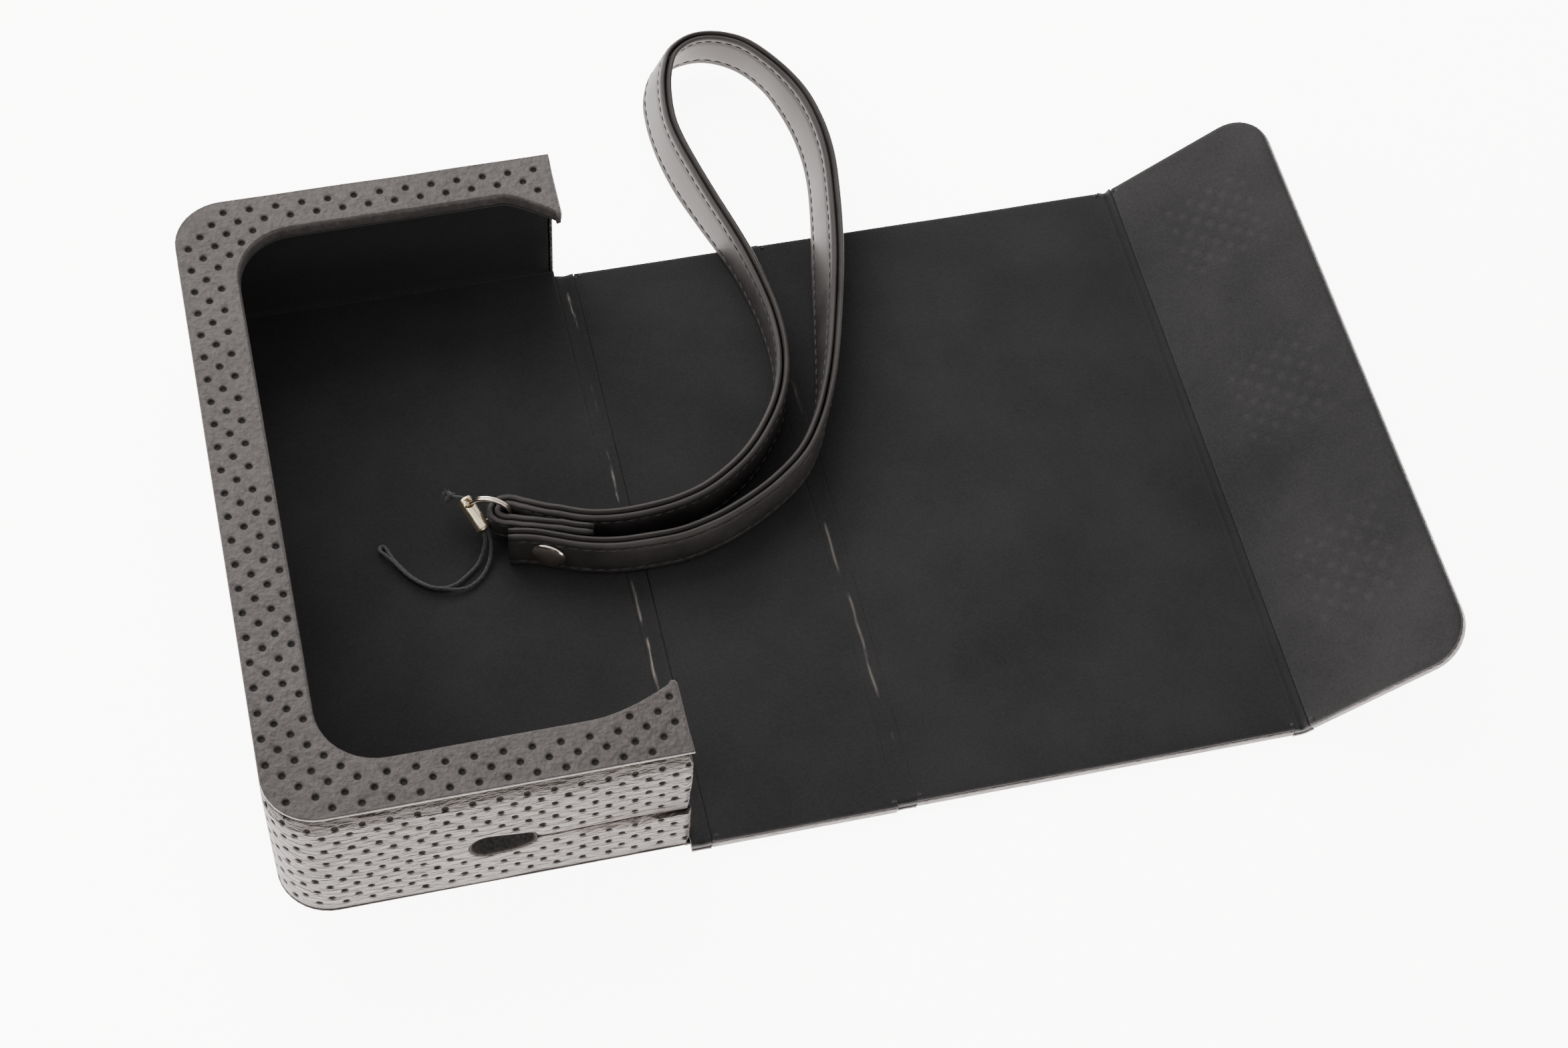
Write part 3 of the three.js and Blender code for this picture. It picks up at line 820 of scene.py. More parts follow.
def tube_faces(ring_count, per_ring, closed_rings):
    """Quads between rings of points. closed_rings joins the last ring to the first."""
    faces = []
    for i in range(ring_count if closed_rings else ring_count - 1):
        for k in range(per_ring):
            j = (k + 1) % per_ring
            a, b = i * per_ring, (i + 1) % ring_count * per_ring
            faces.append((a + k, a + j, b + j, b + k))
    return faces


LIP_SIDE, LIP_FRONT, LIP_BACK, LIP_CORNER = 9.0, 8.3, 7.1, 9.0
LIP_TIP, FLARE_FRONT, FLARE_BACK = 12.6, 13.0, 8.5


def flared_arm(width, flare_length, bend):
    """One arm's inner edge, as (x, distance from the arm's outer side), from its tip inward."""
    points = [(RIGHT, LIP_TIP - 0.9), (RIGHT - 0.3, LIP_TIP - 0.3), (RIGHT - 1.0, LIP_TIP - 0.15)]
    for i in range(1, 9):
        t = i / 8
        points.append((RIGHT - flare_length * t, width + (LIP_TIP - width) * (1 - t) ** bend))
    return points


def lip_outline():
    """The lip's leather from above, anticlockwise, with its window open on the right."""
    over = 0.15
    x0, x1, y0, y1 = LEFT + over, RIGHT, FRONT + over, BACK - over
    radius = CORNER - over
    window_x = LEFT + LIP_SIDE + LIP_CORNER
    outer = [(x1, y0)] + arc(x0 + radius, y0 + radius, radius, 270, 180)
    outer += arc(x0 + radius, y1 - radius, radius, 180, 90) + [(x1, y1)]
    inner = [(x, BACK - width) for x, width in flared_arm(LIP_BACK, FLARE_BACK, 1.25)]
    inner += arc(window_x, BACK - LIP_BACK - LIP_CORNER, LIP_CORNER, 90, 180)
    inner += arc(window_x, FRONT + LIP_FRONT + LIP_CORNER, LIP_CORNER, 180, 270)
    inner += [(x, FRONT + w) for x, w in reversed(flared_arm(LIP_FRONT, FLARE_FRONT, 1.7))]
    ring = without_repeats(outer + inner)
    return spread(list(reversed(ring)), 1.1)


def outer_distance(x, y):
    """Distance inward from the tray's left, front and back sides."""
    dx = LEFT + CORNER - x
    dy = abs(y) - (BACK - CORNER)
    if dx > 0 and dy > 0:
        return CORNER - math.hypot(dx, dy)
    return min(x - LEFT, BACK - abs(y))


LIP_OUTER = ((0.42, 0), (0.34, -0.01), (0.2, -0.04), (0.05, 0.0), (0.0, 0.12), (0.0, 0.42),
             (0.08, 0.58), (0.5, 0.65), (0.62, 0.65))
LIP_INNER = ((0.42, 0), (0.34, 0.03), (0.2, 0.13), (0.07, 0.34), (0.0, 0.7), (0.0, 1.9),
             (0.12, 2.1), (0.6, 2.1), (0.62, 0.65))


def lip_edge(point):
    """The lip's edge: cut and a little raised outside, turned down over the board inside."""
    turned = smooth((outer_distance(*point) - 1) / 3)
    return [
        (a[0] + (b[0] - a[0]) * turned, a[1] + (b[1] - a[1]) * turned)
        for a, b in zip(LIP_OUTER, LIP_INNER)
    ]


def lip_place(x, y, depth):
    sag = 0.12 * smooth((outer_distance(x, y) - 1) / 6) + ripple(x, y, 14.0, 0.15, 4.0)
    return Vector((x, y, LIP_TOP - sag - depth))


def add_lip(leather, dark, soft):
    outline = lip_outline()
    grid = grid_points(LEFT, RIGHT, FRONT, BACK, 1.8, 1.8)
    grid = [p for p in grid if inside(p, outline)]
    body = sheet_body(outline, lip_edge, lip_place, (PITCH, LIP_TURN, (0.22, 0.51)), grid)
    add_skin("lip_leather", body, [leather, dark], None, "tray", "lip_skin")

    low, high = box("lip_lining")
    under = [(clamp(x, LEFT + 2.5, RIGHT - 0.1), clamp(y, FRONT + 2.5, BACK - 2.5))
             for x, y in outline]
    under = without_repeats(under)
    edge = same_edge((0.35, 0), (0.1, 0.07), (0.0, 0.25), (0.1, high.z - low.z))
    place = lambda x, y, depth: Vector((x, y, low.z + depth))
    body = sheet_body(under, edge, place, None, grid)
    add_closed("lip_suede", body[:2], soft, "tray", "suede", "lip_lining")


# ---- flat panels

WRAP = 1.68
WRAP_IN = 1.6
SUEDE_INSET = 0.15
HINGE_REACH = 0.15
CREASE_REACH = 1.5


def flat_place(x, y, depth):
    return Vector((x, y, depth))


def add_panel_leather(name, body, outline, matrix, materials, origin, *nodes):
    """Leather over a panel's outside, turned up round its edges."""
    edge = same_edge((0.8, 0), (0.4, 0.03), (0.13, 0.14), (0.0, 0.4), (0.0, 1.35), (0.1, 1.6),
                     (0.35, WRAP), (WRAP_IN, WRAP), (WRAP_IN + 0.1, 0.55))
    grid = grid_over(outline, 3.3)
    shape = sheet_body(spread(outline, 1.6), edge, flat_place, (PITCH, 0.0, origin), grid)
    add_skin(name, shape, materials, matrix, body, *nodes)


def add_suede(name, body, outline, matrix, material, top, step, thickness, *nodes, marks=None):
    """A napped lining sheet whose height is top(x, y)."""
    edge = same_edge((0.75, 0), (0.4, 0.04), (0.14, 0.14), (0.0, 0.32), (0.0, thickness - 0.04),
                     (0.1, thickness))
    place = lambda x, y, depth: Vector((x, y, top(x, y) - depth))
    grid = grid_over(outline, step)
    shape = sheet_body(spread(outline, 1.2), edge, place, None, grid)
    piece = make_piece(name, *shape[:2], [material], None, matrix)
    if marks:
        attribute, rule = marks
        values = piece.data.attributes.new(attribute, "FLOAT", "POINT")
        values.data.foreach_set("value", [rule(u, v) for u, v in shape[3]])
    outward(piece)
    settle(piece, body, "suede", *nodes)


def sheet_top(x, y):
    return PANEL_TOP + ripple(x, y, 21.0, 0.12, 7.0) + ripple(x, y, 6.0, 0.04, 2.0)


MAGNET_YS = (-34, 0, 34)
MAGNET_REACH = 16.0
PATCH_HALF = 8.5


def pressed(x, y):
    """How much the tongue's lining is pressed at a place, by the magnets under it."""
    best = 0.0
    for magnet in MAGNET_YS:
        away = max(abs(x - MAGNET_REACH), abs(y - magnet))
        best = max(best, 1 - smooth((away - PATCH_HALF + 2) / 2.5))
    return best


def imprint(x, y):
    """How deep the wall's perforation is pressed into the tongue's lining at a place."""
    pitch = WALL_PITCH[0]
    row = round(x / (pitch / 2))
    column = round(y / pitch - 0.5 * (row % 2))
    dot = math.hypot(x - row * pitch / 2, y - (column + 0.5 * (row % 2)) * pitch)
    return pressed(x, y) * smooth(1 - dot / 0.95)


def tongue_top(x, y):
    flat = PANEL_TOP - 0.06 + 0.4 * (sheet_top(x, y) - PANEL_TOP)
    return flat - 0.16 * imprint(x, y) - 0.03 * pressed(x, y)


def add_base(leather, dark, soft):
    outline = rounded_rectangle(LEFT, RIGHT, FRONT, BACK, CORNER, 0.05)
    outline = without_repeats(outline)
    edge = same_edge((0.8, 0), (0.35, 0.03), (0.1, 0.14), (0.0, 0.34), (0.0, 0.5), (0.2, 0.58))
    grid = grid_points(LEFT, RIGHT, FRONT, BACK, 3.3, 3.3)
    shape = sheet_body(spread(outline, 1.4), edge, flat_place, (PITCH, 0.0, (0.3, 0.9)), grid)
    add_skin("base_leather", shape, [leather, dark], None, "tray", "base_skin")
    low, high = box("base_lining")
    reach = 0.35
    outline = rounded_rectangle(low.x - reach, high.x, low.y - reach, high.y + reach,
                                CORNER - WALL, 0.05)
    add_suede("base_suede", "tray", without_repeats(outline), None, soft, sheet_top, 2.0, 0.5,
              "base_lining")


def tongue_matrix():
    turn = Matrix.Rotation(-TONGUE_RAISE, 4, "Y")
    return Matrix.Translation(TONGUE_HINGE) @ turn @ Matrix.Translation((0, 0, -TONGUE_HINGE.z))


def add_panels(leather, dark, soft, soft_pressed):
    for body in ("spine", "cover"):
        low, high = box(f"{body}_skin")
        outline = rounded_rectangle(low.x, high.x, low.y, high.y, 0.3, 0.3)
        add_panel_leather(f"{body}_leather", body, outline, None, [leather, dark], (0.7, 1.3),
                          f"{body}_skin")
        step = SUEDE_INSET
        near = step if body == "spine" else -HINGE_REACH
        outline = rounded_rectangle(low.x + near, high.x + HINGE_REACH, low.y + step,
                                    high.y - step, 0.2, 0.2)
        add_suede(f"{body}_suede", body, outline, None, soft, sheet_top, 2.0, 0.5, f"{body}_lining")

    cover_low, cover_high = box("cover_skin")
    y0, y1 = cover_low.y, cover_high.y
    near = CREASE_REACH
    matrix = tongue_matrix()
    outline = rounded_rectangle(near, TONGUE_REACH, y0, y1, 0.3, 7.0)
    add_panel_leather("tongue_leather", "tongue", outline, matrix, [leather, dark], (0.2, 0.5),
                      "tongue_skin")
    step = SUEDE_INSET
    outline = rounded_rectangle(near + 0.1, TONGUE_REACH - step, y0 + step, y1 - step, 0.2, 6.85)
    add_suede("tongue_suede", "tongue", outline, matrix, soft_pressed, tongue_top, 0.62, 0.5,
              "tongue_lining", marks=("imprint", imprint))


# Where the lining is worn to its backing along a crease: from y, to y, across, how much
WORN = {
    "spine_crease": ((39, 46.5, 0.0, 1.0), (22, 28, 0.0, 0.4), (5.5, 21, 0.0, 0.9),
                     (-17, -10, -1.0, 0.6), (-29.5, -20.5, -0.9, 1.0)),
    "cover_crease": ((16, 23, 0.9, 0.2), (-14.5, -5.5, -0.5, 0.25), (-37, -19, 0.1, 0.3),
                     (-49, -44, 0.5, 0.2)),
}


def wear_at(name, across, y):
    most = 0.0
    for low, high, place, amount in WORN.get(name, ()):
        ends = smooth((y - low) / 1.5 + 0.5) * smooth((high - y) / 1.5 + 0.5)
        wander = place + ripple(y, 0, 5.0, 0.25, low)
        most = max(most, amount * ends * math.exp(-((across - wander) / 0.17) ** 2))
    return most


def add_crease(name, hinge, raised, depth, span, leather, soft):
    """The leather and the lining that bend across one hinge line, with a groove along it."""
    reach = CREASE_REACH
    y0, y1 = span
    columns, rows = 24, 130

    def bent(across, height, y):
        """A point across the crease, turned about the hinge by a share of raised that grows from none on
        one side to all on the other.
        """
        flat = Vector((across, 0, height - hinge.z))
        turned = Matrix.Rotation(-raised, 3, "Y") @ flat
        share = smooth((across + reach) / (2 * reach))
        point = flat.lerp(turned, share)
        return Vector((hinge.x + point.x, y, hinge.z + point.z))

    def strip(label, material, top, bottom, nodes, short=0.0):
        verts = []
        wear = []
        for level in (top, bottom):
            for i in range(columns + 1):
                t = i / columns
                for j in range(rows + 1):
                    y = y0 + short + (y1 - y0 - 2 * short) * j / rows
                    verts.append(bent(-reach + 2 * reach * t, level(t, y), y))
                    wear.append(wear_at(name, -reach + 2 * reach * t, y))
        faces = grid_shell(columns, rows)
        piece = make_piece(label, verts, faces, [material])
        values = piece.data.attributes.new("worn", "FLOAT", "POINT")
        values.data.foreach_set("value", wear)
        outward(piece)
        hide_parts(*nodes)
        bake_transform(piece)

    def groove(t, y):
        dip = depth * math.sin(math.pi * clamp(t)) ** 2
        return PANEL_TOP - 0.06 - dip + ripple(t * 9, y, 7.0, 0.05, 5.0)

    strip(f"{name}_suede", soft, groove, lambda t, y: 0.66, [], SUEDE_INSET)
    strip(f"{name}_leather", leather, lambda t, y: 0.6,
          lambda t, y: 0.1 * math.sin(math.pi * t), [name])


def grid_shell(columns, rows):
    """Faces of a closed body between a top and a bottom grid of points."""
    per = rows + 1
    count = (columns + 1) * per
    faces = []
    for i in range(columns):
        for j in range(rows):
            a = i * per + j
            quad = (a, a + per, a + per + 1, a + 1)
            faces.append(quad)
            faces.append(tuple(count + v for v in reversed(quad)))
    border = [i * per for i in range(columns + 1)]
    border += [columns * per + j for j in range(1, per)]
    border += [i * per + rows for i in range(columns - 1, -1, -1)]
    border += list(range(rows - 1, 0, -1))
    for k, a in enumerate(border):
        b = border[(k + 1) % len(border)]
        faces.append((a, b, count + b, count + a))
    return faces


# ---- curves


def catmull_rom(points, spacing):
    """Points evenly spaced along a centripetal curve through the given ones."""
    points = [Vector(p) for p in points]
    points = [points[0] * 2 - points[1]] + points + [points[-1] * 2 - points[-2]]
    fine = []
    for i in range(1, len(points) - 2):
        p0, p1, p2, p3 = points[i - 1:i + 3]
        d0, d1, d2 = (max((b - a).length ** 0.5, 1e-4) for a, b in ((p0, p1), (p1, p2), (p2, p3)))
        t1 = ((p1 - p0) / d0 - (p2 - p0) / (d0 + d1) + (p2 - p1) / d1) * d1
        t2 = ((p2 - p1) / d1 - (p3 - p1) / (d1 + d2) + (p3 - p2) / d2) * d1
        for k in range(40):
            t = k / 40
            fine.append(p1 + t1 * t + (p2 * 3 - p1 * 3 - t1 * 2 - t2) * t ** 2
                        + (p1 * 2 - p2 * 2 + t1 + t2) * t ** 3)
    fine.append(points[-2])
    return evenly(fine, spacing)


def evenly(fine, spacing):
    lengths = [0.0]
    for a, b in zip(fine, fine[1:]):
        lengths.append(lengths[-1] + (b - a).length)
    count = max(2, round(lengths[-1] / spacing))
    spaced = []
    k = 0
    for i in range(count + 1):
        target = lengths[-1] * i / count
        while k < len(fine) - 2 and lengths[k + 1] < target:
            k += 1
        share = (target - lengths[k]) / max(lengths[k + 1] - lengths[k], 1e-9)
        spaced.append(fine[k].lerp(fine[k + 1], share))
    return spaced


def tangents(points):
    last = len(points) - 1
    return [(points[min(i + 1, last)] - points[max(i - 1, 0)]).normalized()
            for i in range(last + 1)]


def loft(rings):
    """A closed body through rings of points, with a flat cap at each end."""
    per = len(rings[0])
    verts = [point for ring in rings for point in ring]
    faces = tube_faces(len(rings), per, False)
    faces.append(tuple(reversed(range(per))))
    faces.append(tuple(range(len(verts) - per, len(verts))))
    return verts, faces


def directions(side, up, sides):
    """(angle, direction) evenly round, from one direction toward another."""
    angles = [2 * math.pi * k / sides for k in range(sides)]
    return [(a, side * math.cos(a) + up * math.sin(a)) for a in angles]


def round_tube(points, radius, sides):
    """Rings round a route, turned as little as possible. radius(i, angle) is in millimetres."""
    rings = []
    side = None
    for i, (point, ahead) in enumerate(zip(points, tangents(points))):
        if side is None:
            side = ahead.orthogonal().normalized()
        side = (side - ahead * side.dot(ahead)).normalized()
        up = ahead.cross(side)
        rings.append([point + way * radius(i, angle) for angle, way in directions(side, up, sides)])
    return rings


def lathe(profile, axis, origin, sides=56):
    """A closed body turned round an axis, from (radius, distance along it) points."""
    axis = Vector(axis).normalized()
    side = axis.orthogonal().normalized()
    up = axis.cross(side)
    ways = directions(side, up, sides)
    return [[Vector(origin) + axis * along + way * radius for _, way in ways]
            for radius, along in profile]


# ---- the strap

# (x, y) along the strap, and where it leans, how far the top edge leans to the outer side
STRAP_LINE = [
    (12.6, -2.35), (15, -2.8), (17.2, -3.45), (20, -4.6), (22.7, -5.7), (25.3, -6.5), (29, -7.2),
    (33, -7.4), (38.5, -7.3), (42.5, -6.5), (47.7, -4.75), (54.7, -1.1), (60.8, 3.8),
    (64.8, 9.8, 0.3), (67.6, 16.5, 1), (69.4, 22.5, 1.8), (71, 28.8, 2.5), (72.8, 36, 3),
    (74.3, 42.5, 3.3), (76.3, 52, 3), (77.8, 62, 2.7), (77.8, 69.5, 2.4), (76.6, 76.5, 1.9),
    (73.6, 84, 0.5), (69.8, 89, -0.1), (65, 91.5, -1), (61, 91.6, -1.7), (56.8, 89.4, -2.9),
    (54.4, 84.5, -3.2), (53.5, 79, -2.7), (53.4, 74, -2.2), (53.8, 70, -2.1), (55, 63.8, -2.1),
    (57.1, 56, -1.5), (59, 49.5, -1), (60.4, 44, -0.7), (61.6, 37, -0.5), (62.2, 30.5, -0.4),
    (61.9, 23.5, -0.2), (60.1, 16.6), (56.9, 10.8), (51.8, 4.9), (44.9, 0.3), (40, -1.35),
    (36.2, -1.95), (31.3, -2.15), (28, -1.9), (25.3, -1.35), (22.7, -0.4), (20, 0.95), (18, 2.3),
    (16.3, 3.6), (14.3, 4.8), (12.6, 4.9), (11.5, 4.1), (11.3, 2.9), (12.3, 1.7), (14, 1.15),
    (15.8, 0.45), (17.5, -0.45), (20, -1.85), (22.7, -3.1), (25.6, -4.05),
]
STRAP_LOW, STRAP_WIDTH = 2.5, 8.0
STRAP_MIDDLE = STRAP_LOW + STRAP_WIDTH / 2
TAB_WIDTH, TAB_END, TAB_TAPER = 4.0, 15.5, 5.5
TAB_SIDE, TAB_SLOPE = 3.13, -0.32
PLY_NEAR, PLY_FAR = 0.125, 1.025
SEAM_IN = 1.25


def ply_section():
    """(across, height from the strap's middle) round one ply: rolled edges and sewn channels."""
    half = STRAP_WIDTH / 2
    near, far = PLY_NEAR, PLY_FAR
    seam = half - SEAM_IN
    upper = [
        (far + 0.06, 0.0), (far + 0.04, seam - 0.9), (far, seam - 0.4), (far - 0.12, seam - 0.12),
        (far - 0.12, seam + 0.12), (far, seam + 0.38), (far + 0.04, seam + 0.65),
        (far - 0.03, half - 0.34), (far - 0.17, half - 0.13), (far - 0.38, half - 0.02),
        (far - 0.62, half), (near + 0.24, half - 0.07), (near + 0.07, half - 0.22),
        (near, half - 0.5), (near, half - 1.5),
    ]
    lower = [(a, -h) for a, h in reversed(upper[1:])]
    return upper + lower


def tab_share(point):
    """How much of its width the strap keeps at a place, less on the tab inside the ring."""
    if point.y < TAB_SIDE + TAB_SLOPE * point.x or point.x > TAB_END + TAB_TAPER:
        return 1.0
    least = TAB_WIDTH / STRAP_WIDTH
    return least + (1 - least) * clamp((point.x - TAB_END) / TAB_TAPER)


def strap_stations(spacing):
    """Places along the strap: the point, the direction to its outer side, and the lean there."""
    line = catmull_rom([(*place, 0)[:3] for place in STRAP_LINE], spacing)
    stations = []
    for point, along in zip(line, tangents(line)):
        outer = Vector((along.y, -along.x, 0)).normalized()
        stations.append((Vector((point.x, point.y, 0)), outer, point.z / STRAP_WIDTH))
    return stations


def add_ply(name, outward_sign, leather, sewing):
    line = strap_stations(1.0)
    section = ply_section()
    rings = []
    for i, (point, outer, lean) in enumerate(line):
        right = outer * outward_sign
        share = tab_share(point)
        wave = ripple(i, 0, 9.0, 0.06, outward_sign)
        end = min(i, len(line) - 1 - i)
        taper = 0.75 if end == 0 else 1.0
        middle = (PLY_NEAR + PLY_FAR) / 2
        ring = []
        for across, height in section:
            across = middle + (across - middle) * taper
            offset = right * across + outer * lean * height
            level = STRAP_MIDDLE + height * share * (1 - 0.03 * (1 - taper)) + wave
            ring.append(Vector((point.x + offset.x, point.y + offset.y, level)))
        rings.append(ring)
    add_closed(name, loft(rings), leather, "strap", "strap_leather", name.replace("_leather", ""))

    stitches = []
    seam = STRAP_WIDTH / 2 - SEAM_IN
    fine = strap_stations(0.5)
    pitch, length = 4, 3
    for start in range(3, len(fine) - length - 3, pitch):
        for level in (-seam, seam):
            route = []
            for k, sunk in zip(range(length + 1), (0.12, 0.0, 0.0, 0.12)):
                point, outer, lean = fine[start + k]
                share = tab_share(point)
                wave = ripple((start + k) / 2, 0, 9.0, 0.06, outward_sign)
                side = outward_sign * (PLY_FAR - 0.03 - sunk)
                spot = point + outer * (side + lean * level)
                route.append(Vector((spot.x, spot.y, STRAP_MIDDLE + level * share + wave)))
            rings = round_tube(route, lambda i, a: 0.12 if i in (1, 2) else 0.07, 6)
            stitches.append(loft(rings))
    add_closed(name.replace("leather", "stitches"), joined(stitches), sewing, "strap", "cord")


RIVET_PLACE = Vector((20, -1.9, STRAP_MIDDLE))
RIVET_TURN = math.radians(-27)
RIVET_SEAT = 3.62


def add_rivet(metal):
    axis = Matrix.Rotation(RIVET_TURN, 3, "Z") @ Vector((0, 1, 0))
    head = (
        (0.02, 0.84), (1.0, 0.82), (1.8, 0.72), (2.35, 0.56), (2.64, 0.4), (2.77, 0.25),
        (2.8, 0.13), (2.74, 0.03), (2.55, 0.0), (1.25, 0.0),
    )
    washer = (
        (1.25, 0.0), (1.75, 0.0), (1.88, 0.05), (1.9, 0.16), (1.84, 0.27), (1.6, 0.33),
        (1.4, 0.36), (1.3, 0.44), (1.05, 0.48), (0.9, 0.4), (0.8, 0.28), (0.4, 0.22), (0.02, 0.2),
    )
    profile = [(radius, -RIVET_SEAT - along) for radius, along in head]
    profile += [(radius, RIVET_SEAT + along) for radius, along in washer]
    shape = loft(lathe(profile, axis, RIVET_PLACE))
    add_closed("rivet", shape, metal, "strap", "nickel", "strap_rivet")


def add_ring(metal):
    """A split ring: two turns of flat-sided wire, stepping over each other at one place."""
    low, high = box("strap_ring")
    centre = (low + high) / 2
    wire, flatness = 0.21, 1.25
    radius = (high.z - low.z) / 2 - 0.4
    angle = math.radians(157)
    level = Vector((math.cos(angle), math.sin(angle), 0))
    upright = Vector((0, 0, 1))
    side = level.cross(upright)
    steps, sides = 240, 14
    rings = []
    for i in range(steps):
        t = 2 * i / steps
        turn = 2 * math.pi * t
        out = level * math.cos(turn - 2.2) + upright * math.sin(turn - 2.2)
        step = smooth(min(t, 2 - t) / 0.06) if t < 0.06 or t > 1.94 else 1.0
        over = smooth((t - 0.97) / 0.06)
        across = (0.22 - 0.44 * over) * step
        size = 0.35 + 0.65 * step
        middle = centre + out * radius + side * across
        ring = []
        for k in range(sides):
            x, y = math.cos(2 * math.pi * k / sides), math.sin(2 * math.pi * k / sides)
            square = 0.82 + 0.18 / max(abs(x), abs(y))
            ring.append(middle + (out * x * flatness + side * y) * wire * size * square)
        rings.append(ring)
    add_closed("ring", loft(rings), metal, "strap", "nickel", "strap_ring")


# ---- the lanyard

CORD_LINE = [
    (9.3, 1.3, 5.75), (9.4, 0.5, 5.1), (9.1, -0.3, 4.2), (8.6, -1.1, 3.4), (7.6, -2.4, 2.8),
    (5.7, -4, 2.7), (3.8, -5.2, 2.7), (1.8, -5.55, 2.7), (0, -5, 2.7), (-1.5, -3.9, 2.7),
    (-2.9, -2.4, 2.7), (-4, -0.7, 2.7), (-4.9, 0.9, 2.7), (-5.5, 2.4, 2.7), (-5.8, 3.3, 2.7),
    (-6.2, 3.75, 2.7), (-6.7, 3.5, 2.8), (-6.7, 2.8, 3), (-6.1, 1.8, 3.25), (-5.2, 0.45, 3.4),
    (-4.3, -1.1, 3.4), (-3.2, -2.75, 3.4), (-1.75, -4.3, 3.4), (-0.15, -5.45, 3.4),
    (1.7, -6.05, 3.35), (3.8, -6.4, 3), (5.6, -6.15, 2.75), (7, -5.4, 2.75), (8.3, -4.2, 2.8),
    (9.4, -2.5, 3), (10, -1, 3.6), (10.2, 0, 4.4), (10.15, 0.8, 5.1), (10, 1.5, 5.75),
]
CORD_RADIUS = 0.28
BARREL_HOLE = Vector((7.85, 5.55, 7.0))
BARREL_AXIS = Vector((2.2, -5.1, -1.5)).normalized()
BARREL_LENGTH = 5.7
HOLE_FROM_END = 1.5


def add_barrel(metal):
    outer, bore, length = 1.18, 0.8, BARREL_LENGTH
    end = BARREL_HOLE - BARREL_AXIS * HOLE_FROM_END
    half = (
        (bore, 0.2), (bore + 0.1, 0.04), (outer - 0.18, 0.0), (outer - 0.05, 0.05), (outer, 0.18),
        (outer, 0.55), (outer - 0.06, 0.6), (outer - 0.06, 0.72), (outer, 0.77),
    )
    profile = half + tuple((radius, length - along) for radius, along in reversed(half))
    piece = make_piece("barrel", *closed_loft(lathe(profile, BARREL_AXIS, end)), [metal])
    outward(piece)
    drill_profile = ((0.02, -5), (0.8, -5), (0.8, 5), (0.02, 5))
    drill = make_piece("drill", *loft(lathe(drill_profile, (0, 0, 1), BARREL_HOLE, 40)), [metal])
    outward(drill)
    modifier = piece.modifiers.new("cross_hole", "BOOLEAN")
    modifier.operation = "DIFFERENCE"
    modifier.object = drill
    modifier.solver = "EXACT"
    bpy.context.view_layer.update()
    cut = bpy.data.meshes.new_from_object(piece.evaluated_get(bpy.context.evaluated_depsgraph_get()))
    piece.modifiers.clear()
    piece.data = cut
    bpy.data.objects.remove(drill)
    piece.data.set_sharp_from_angle(angle=math.radians(40))
    settle(piece, "lanyard", "nickel", "lanyard_barrel")
    return piece


KNOT_AXIS = Vector((-0.8, 0.5, -0.33)).normalized()
KNOT_REACH = 2.3


def add_knot(material):
    """The cord's end beyond the barrel: a short run, an overhand knot and its frayed fibres."""
    end = BARREL_HOLE - BARREL_AXIS * (HOLE_FROM_END - 0.3)
    centre = BARREL_HOLE - BARREL_AXIS * (HOLE_FROM_END + 0.3) + KNOT_AXIS * KNOT_REACH
    side = KNOT_AXIS.orthogonal().normalized()
    up = KNOT_AXIS.cross(side)
    stub = catmull_rom([end, end - BARREL_AXIS * 0.5, centre - KNOT_AXIS * 1.0, centre], 0.15)
    stub_shape = loft(round_tube(stub, lambda i, a: 0.26 + 0.02 * math.sin(4 * a + i), 14))
    route = []
    steps = 96
    for i in range(steps):
        t = 2 * math.pi * i / steps
        x = (math.sin(t) + 2 * math.sin(2 * t)) * 0.2
        y = (math.cos(t) - 2 * math.cos(2 * t)) * 0.2
        route.append(centre + side * x + up * y - KNOT_AXIS * math.sin(3 * t) * 0.27)
    rings = round_tube(route, lambda i, a: 0.3 + 0.025 * math.sin(5 * a + i * 0.9), 14)
    shape = joined([closed_loft(rings), stub_shape])
    knot = add_closed("knot", shape, material, "lanyard", "cord", "lanyard_knot")

    chance = random.Random(4)
    fibres = []
    for _ in range(90):
        stray = Vector((chance.gauss(0, 1), chance.gauss(0, 1), chance.gauss(0, 1)))
        away = (KNOT_AXIS * 1.1 + stray * 0.55).normalized()
        start = centre + away * 0.4
        middle = start + away * chance.uniform(0.3, 0.7)
        bend = Vector((chance.gauss(0, 0.35), chance.gauss(0, 0.35), chance.gauss(-0.3, 0.3)))
        tip = middle + (away + bend).normalized() * chance.uniform(0.2, 0.6)
        fibres.append(loft(round_tube([start, middle, tip], lambda i, a: (0.05, 0.04, 0.015)[i], 5)))
    return knot, add_closed("knot_fray", joined(fibres), material, "lanyard", "cord")


def add_cord(material):
    spacing = 0.09
    route = catmull_rom(CORD_LINE, spacing)
    strands = 4

    def braid(i, angle):
        """The cord's radius, raised where its two sets of strands cross over it."""
        along = i * spacing * 2 * math.pi / 1.1
        first = math.sin(strands * angle + along)
        second = math.sin(strands * angle - along)
        return CORD_RADIUS - 0.025 + 0.025 * max(first, second)

    shape = loft(round_tube(route, braid, 24))
    piece = add_closed("cord", shape, material, "lanyard", "cord", "lanyard_cord")


# ---- the whole case


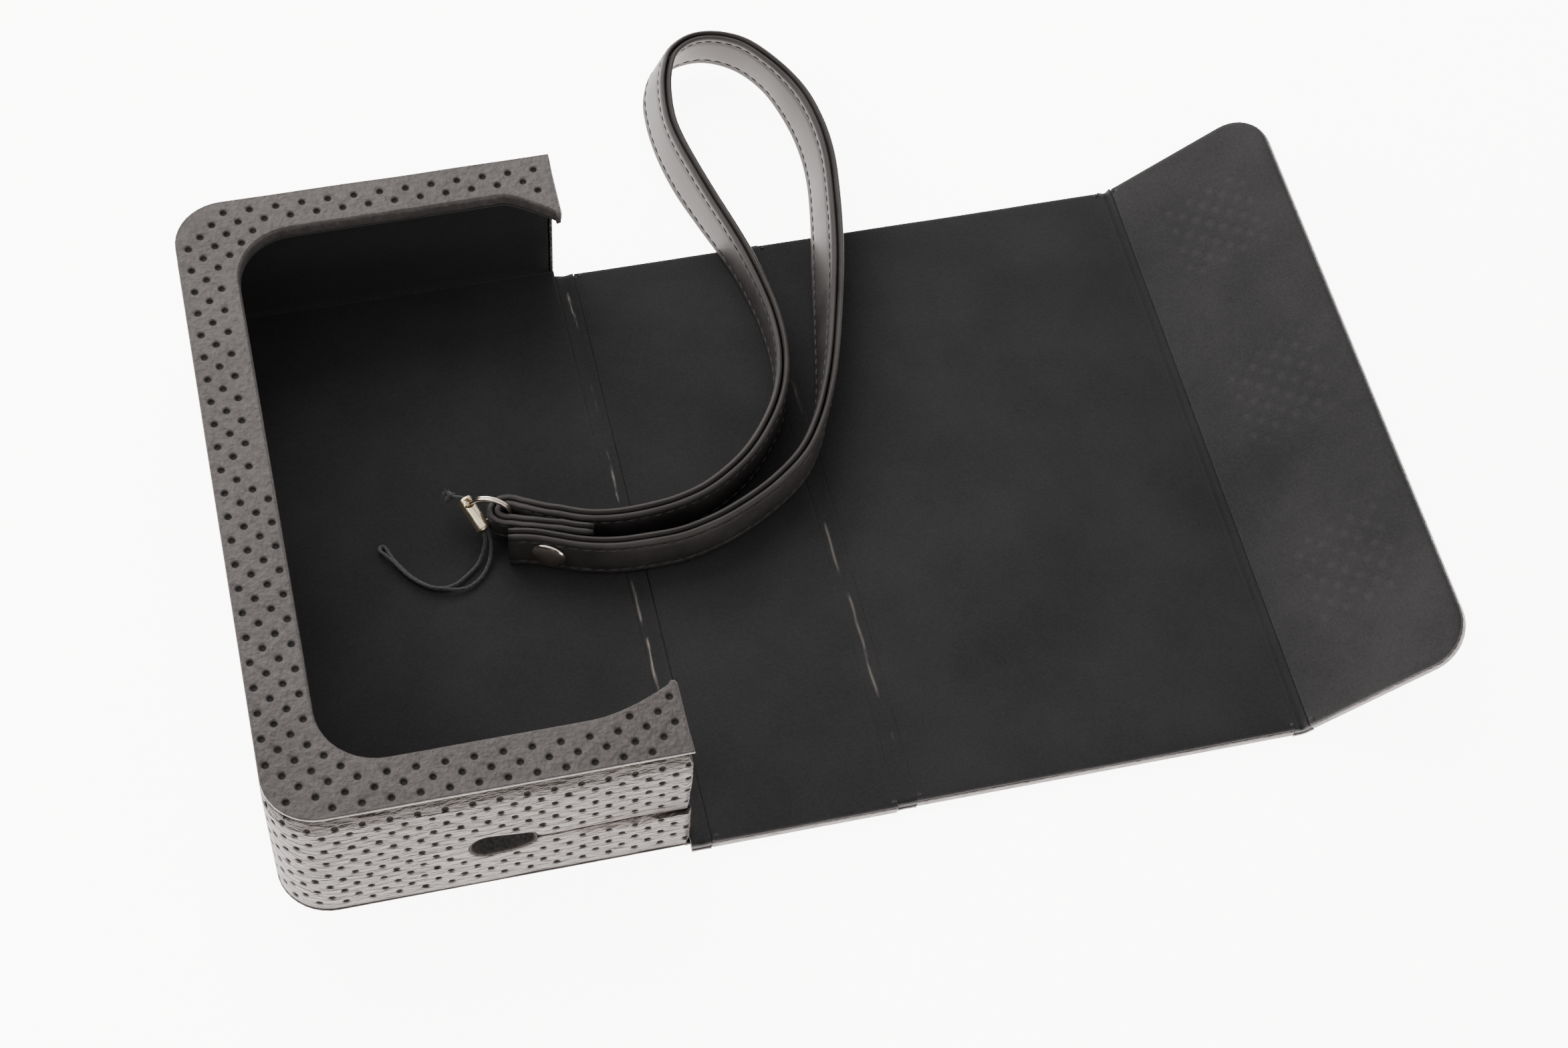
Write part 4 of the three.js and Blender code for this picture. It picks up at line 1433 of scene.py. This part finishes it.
def main():
    make_camera()
    make_studio()

    dark_grey, mid_grey = (0.0215, 0.0195, 0.0192), (0.046, 0.0418, 0.041)
    wall_dark, wall_grey = (0.0115, 0.009, 0.0078), (0.034, 0.027, 0.024)
    # Its last number is the height above which the wall's colour darkens: painted shade on the band that
    # curves in under the lip
    wall_leather = leatherette("wall_leather", wall_dark, wall_grey, (300.0, 300.0, 1150.0),
                               0.0016, 0.0235)
    lip_leather = leatherette("lip_leather", dark_grey, mid_grey, (900.0, 900.0, 900.0), 0.0002)
    panel_leather = leatherette("panel_leather", dark_grey, mid_grey, (520.0, 900.0, 900.0), 0.0004)
    hole = hole_material()
    near_black, black_light = (0.0085, 0.0082, 0.0085), (0.019, 0.018, 0.018)
    lining = suede("lining", near_black, black_light)
    # A darker copy of the lining suede for the wall's inside: painted shade, for a lining that stands in
    # shadow
    wall_lining = suede("wall_lining", (0.0045, 0.0043, 0.0045), (0.010, 0.0095, 0.0095))
    # A lighter copy of the lining suede for the tongue: painted light, for the raised tongue that faces
    # the light
    tongue_black, tongue_grey = (0.0135, 0.013, 0.0133), (0.031, 0.0295, 0.0295)
    tongue_lining = suede("tongue_lining", tongue_black, tongue_grey, imprinted=True)
    crease_lining = suede("crease_lining", near_black, black_light, creased=True)
    band = strap_leather("strap")
    sewing = thread("sewing", (0.01, 0.0095, 0.0095), (0.026, 0.025, 0.025))
    cord_material = thread("cord", (0.008, 0.008, 0.0085), (0.028, 0.027, 0.026))
    silver = nickel("nickel", (0.88, 0.78, 0.7))
    board = grey_board("board")
    pale_gold = nickel("pale_gold", (1.0, 0.85, 0.62), 0.18)
    magnet = nickel("magnet", (0.5, 0.5, 0.52))

    knot = add_knot(cord_material)
    barrel = add_barrel(pale_gold)
    add_cord(cord_material)
    add_ring(silver)
    add_rivet(silver)
    add_ply("strap_outer_ply_leather", 1, band, sewing)
    add_ply("strap_inner_ply_leather", -1, band, sewing)

    add_wall(wall_leather, hole, wall_lining)
    add_lip(lip_leather, hole, lining)
    add_base(panel_leather, hole, lining)
    add_panels(panel_leather, hole, lining, tongue_lining)

    spine_low, spine_high = box("spine_skin")
    cover_low, cover_high = box("cover_skin")
    spine_span, cover_span = (spine_low.y, spine_high.y), (cover_low.y, cover_high.y)
    add_crease("spine_crease", joint_place("spine_hinge"), 0.0, 0.3,
               spine_span, panel_leather, crease_lining)
    add_crease("cover_crease", joint_place("cover_hinge"), 0.0, 0.08,
               cover_span, panel_leather, crease_lining)
    add_crease("tongue_crease", TONGUE_HINGE, TONGUE_RAISE, 0.25,
               cover_span, panel_leather, lining)

    for name, node in frame["nodes"].items():
        if "magnet" in name:
            node.data.materials[0] = magnet
        if "board" in name:
            node.data.materials[0] = board


main()
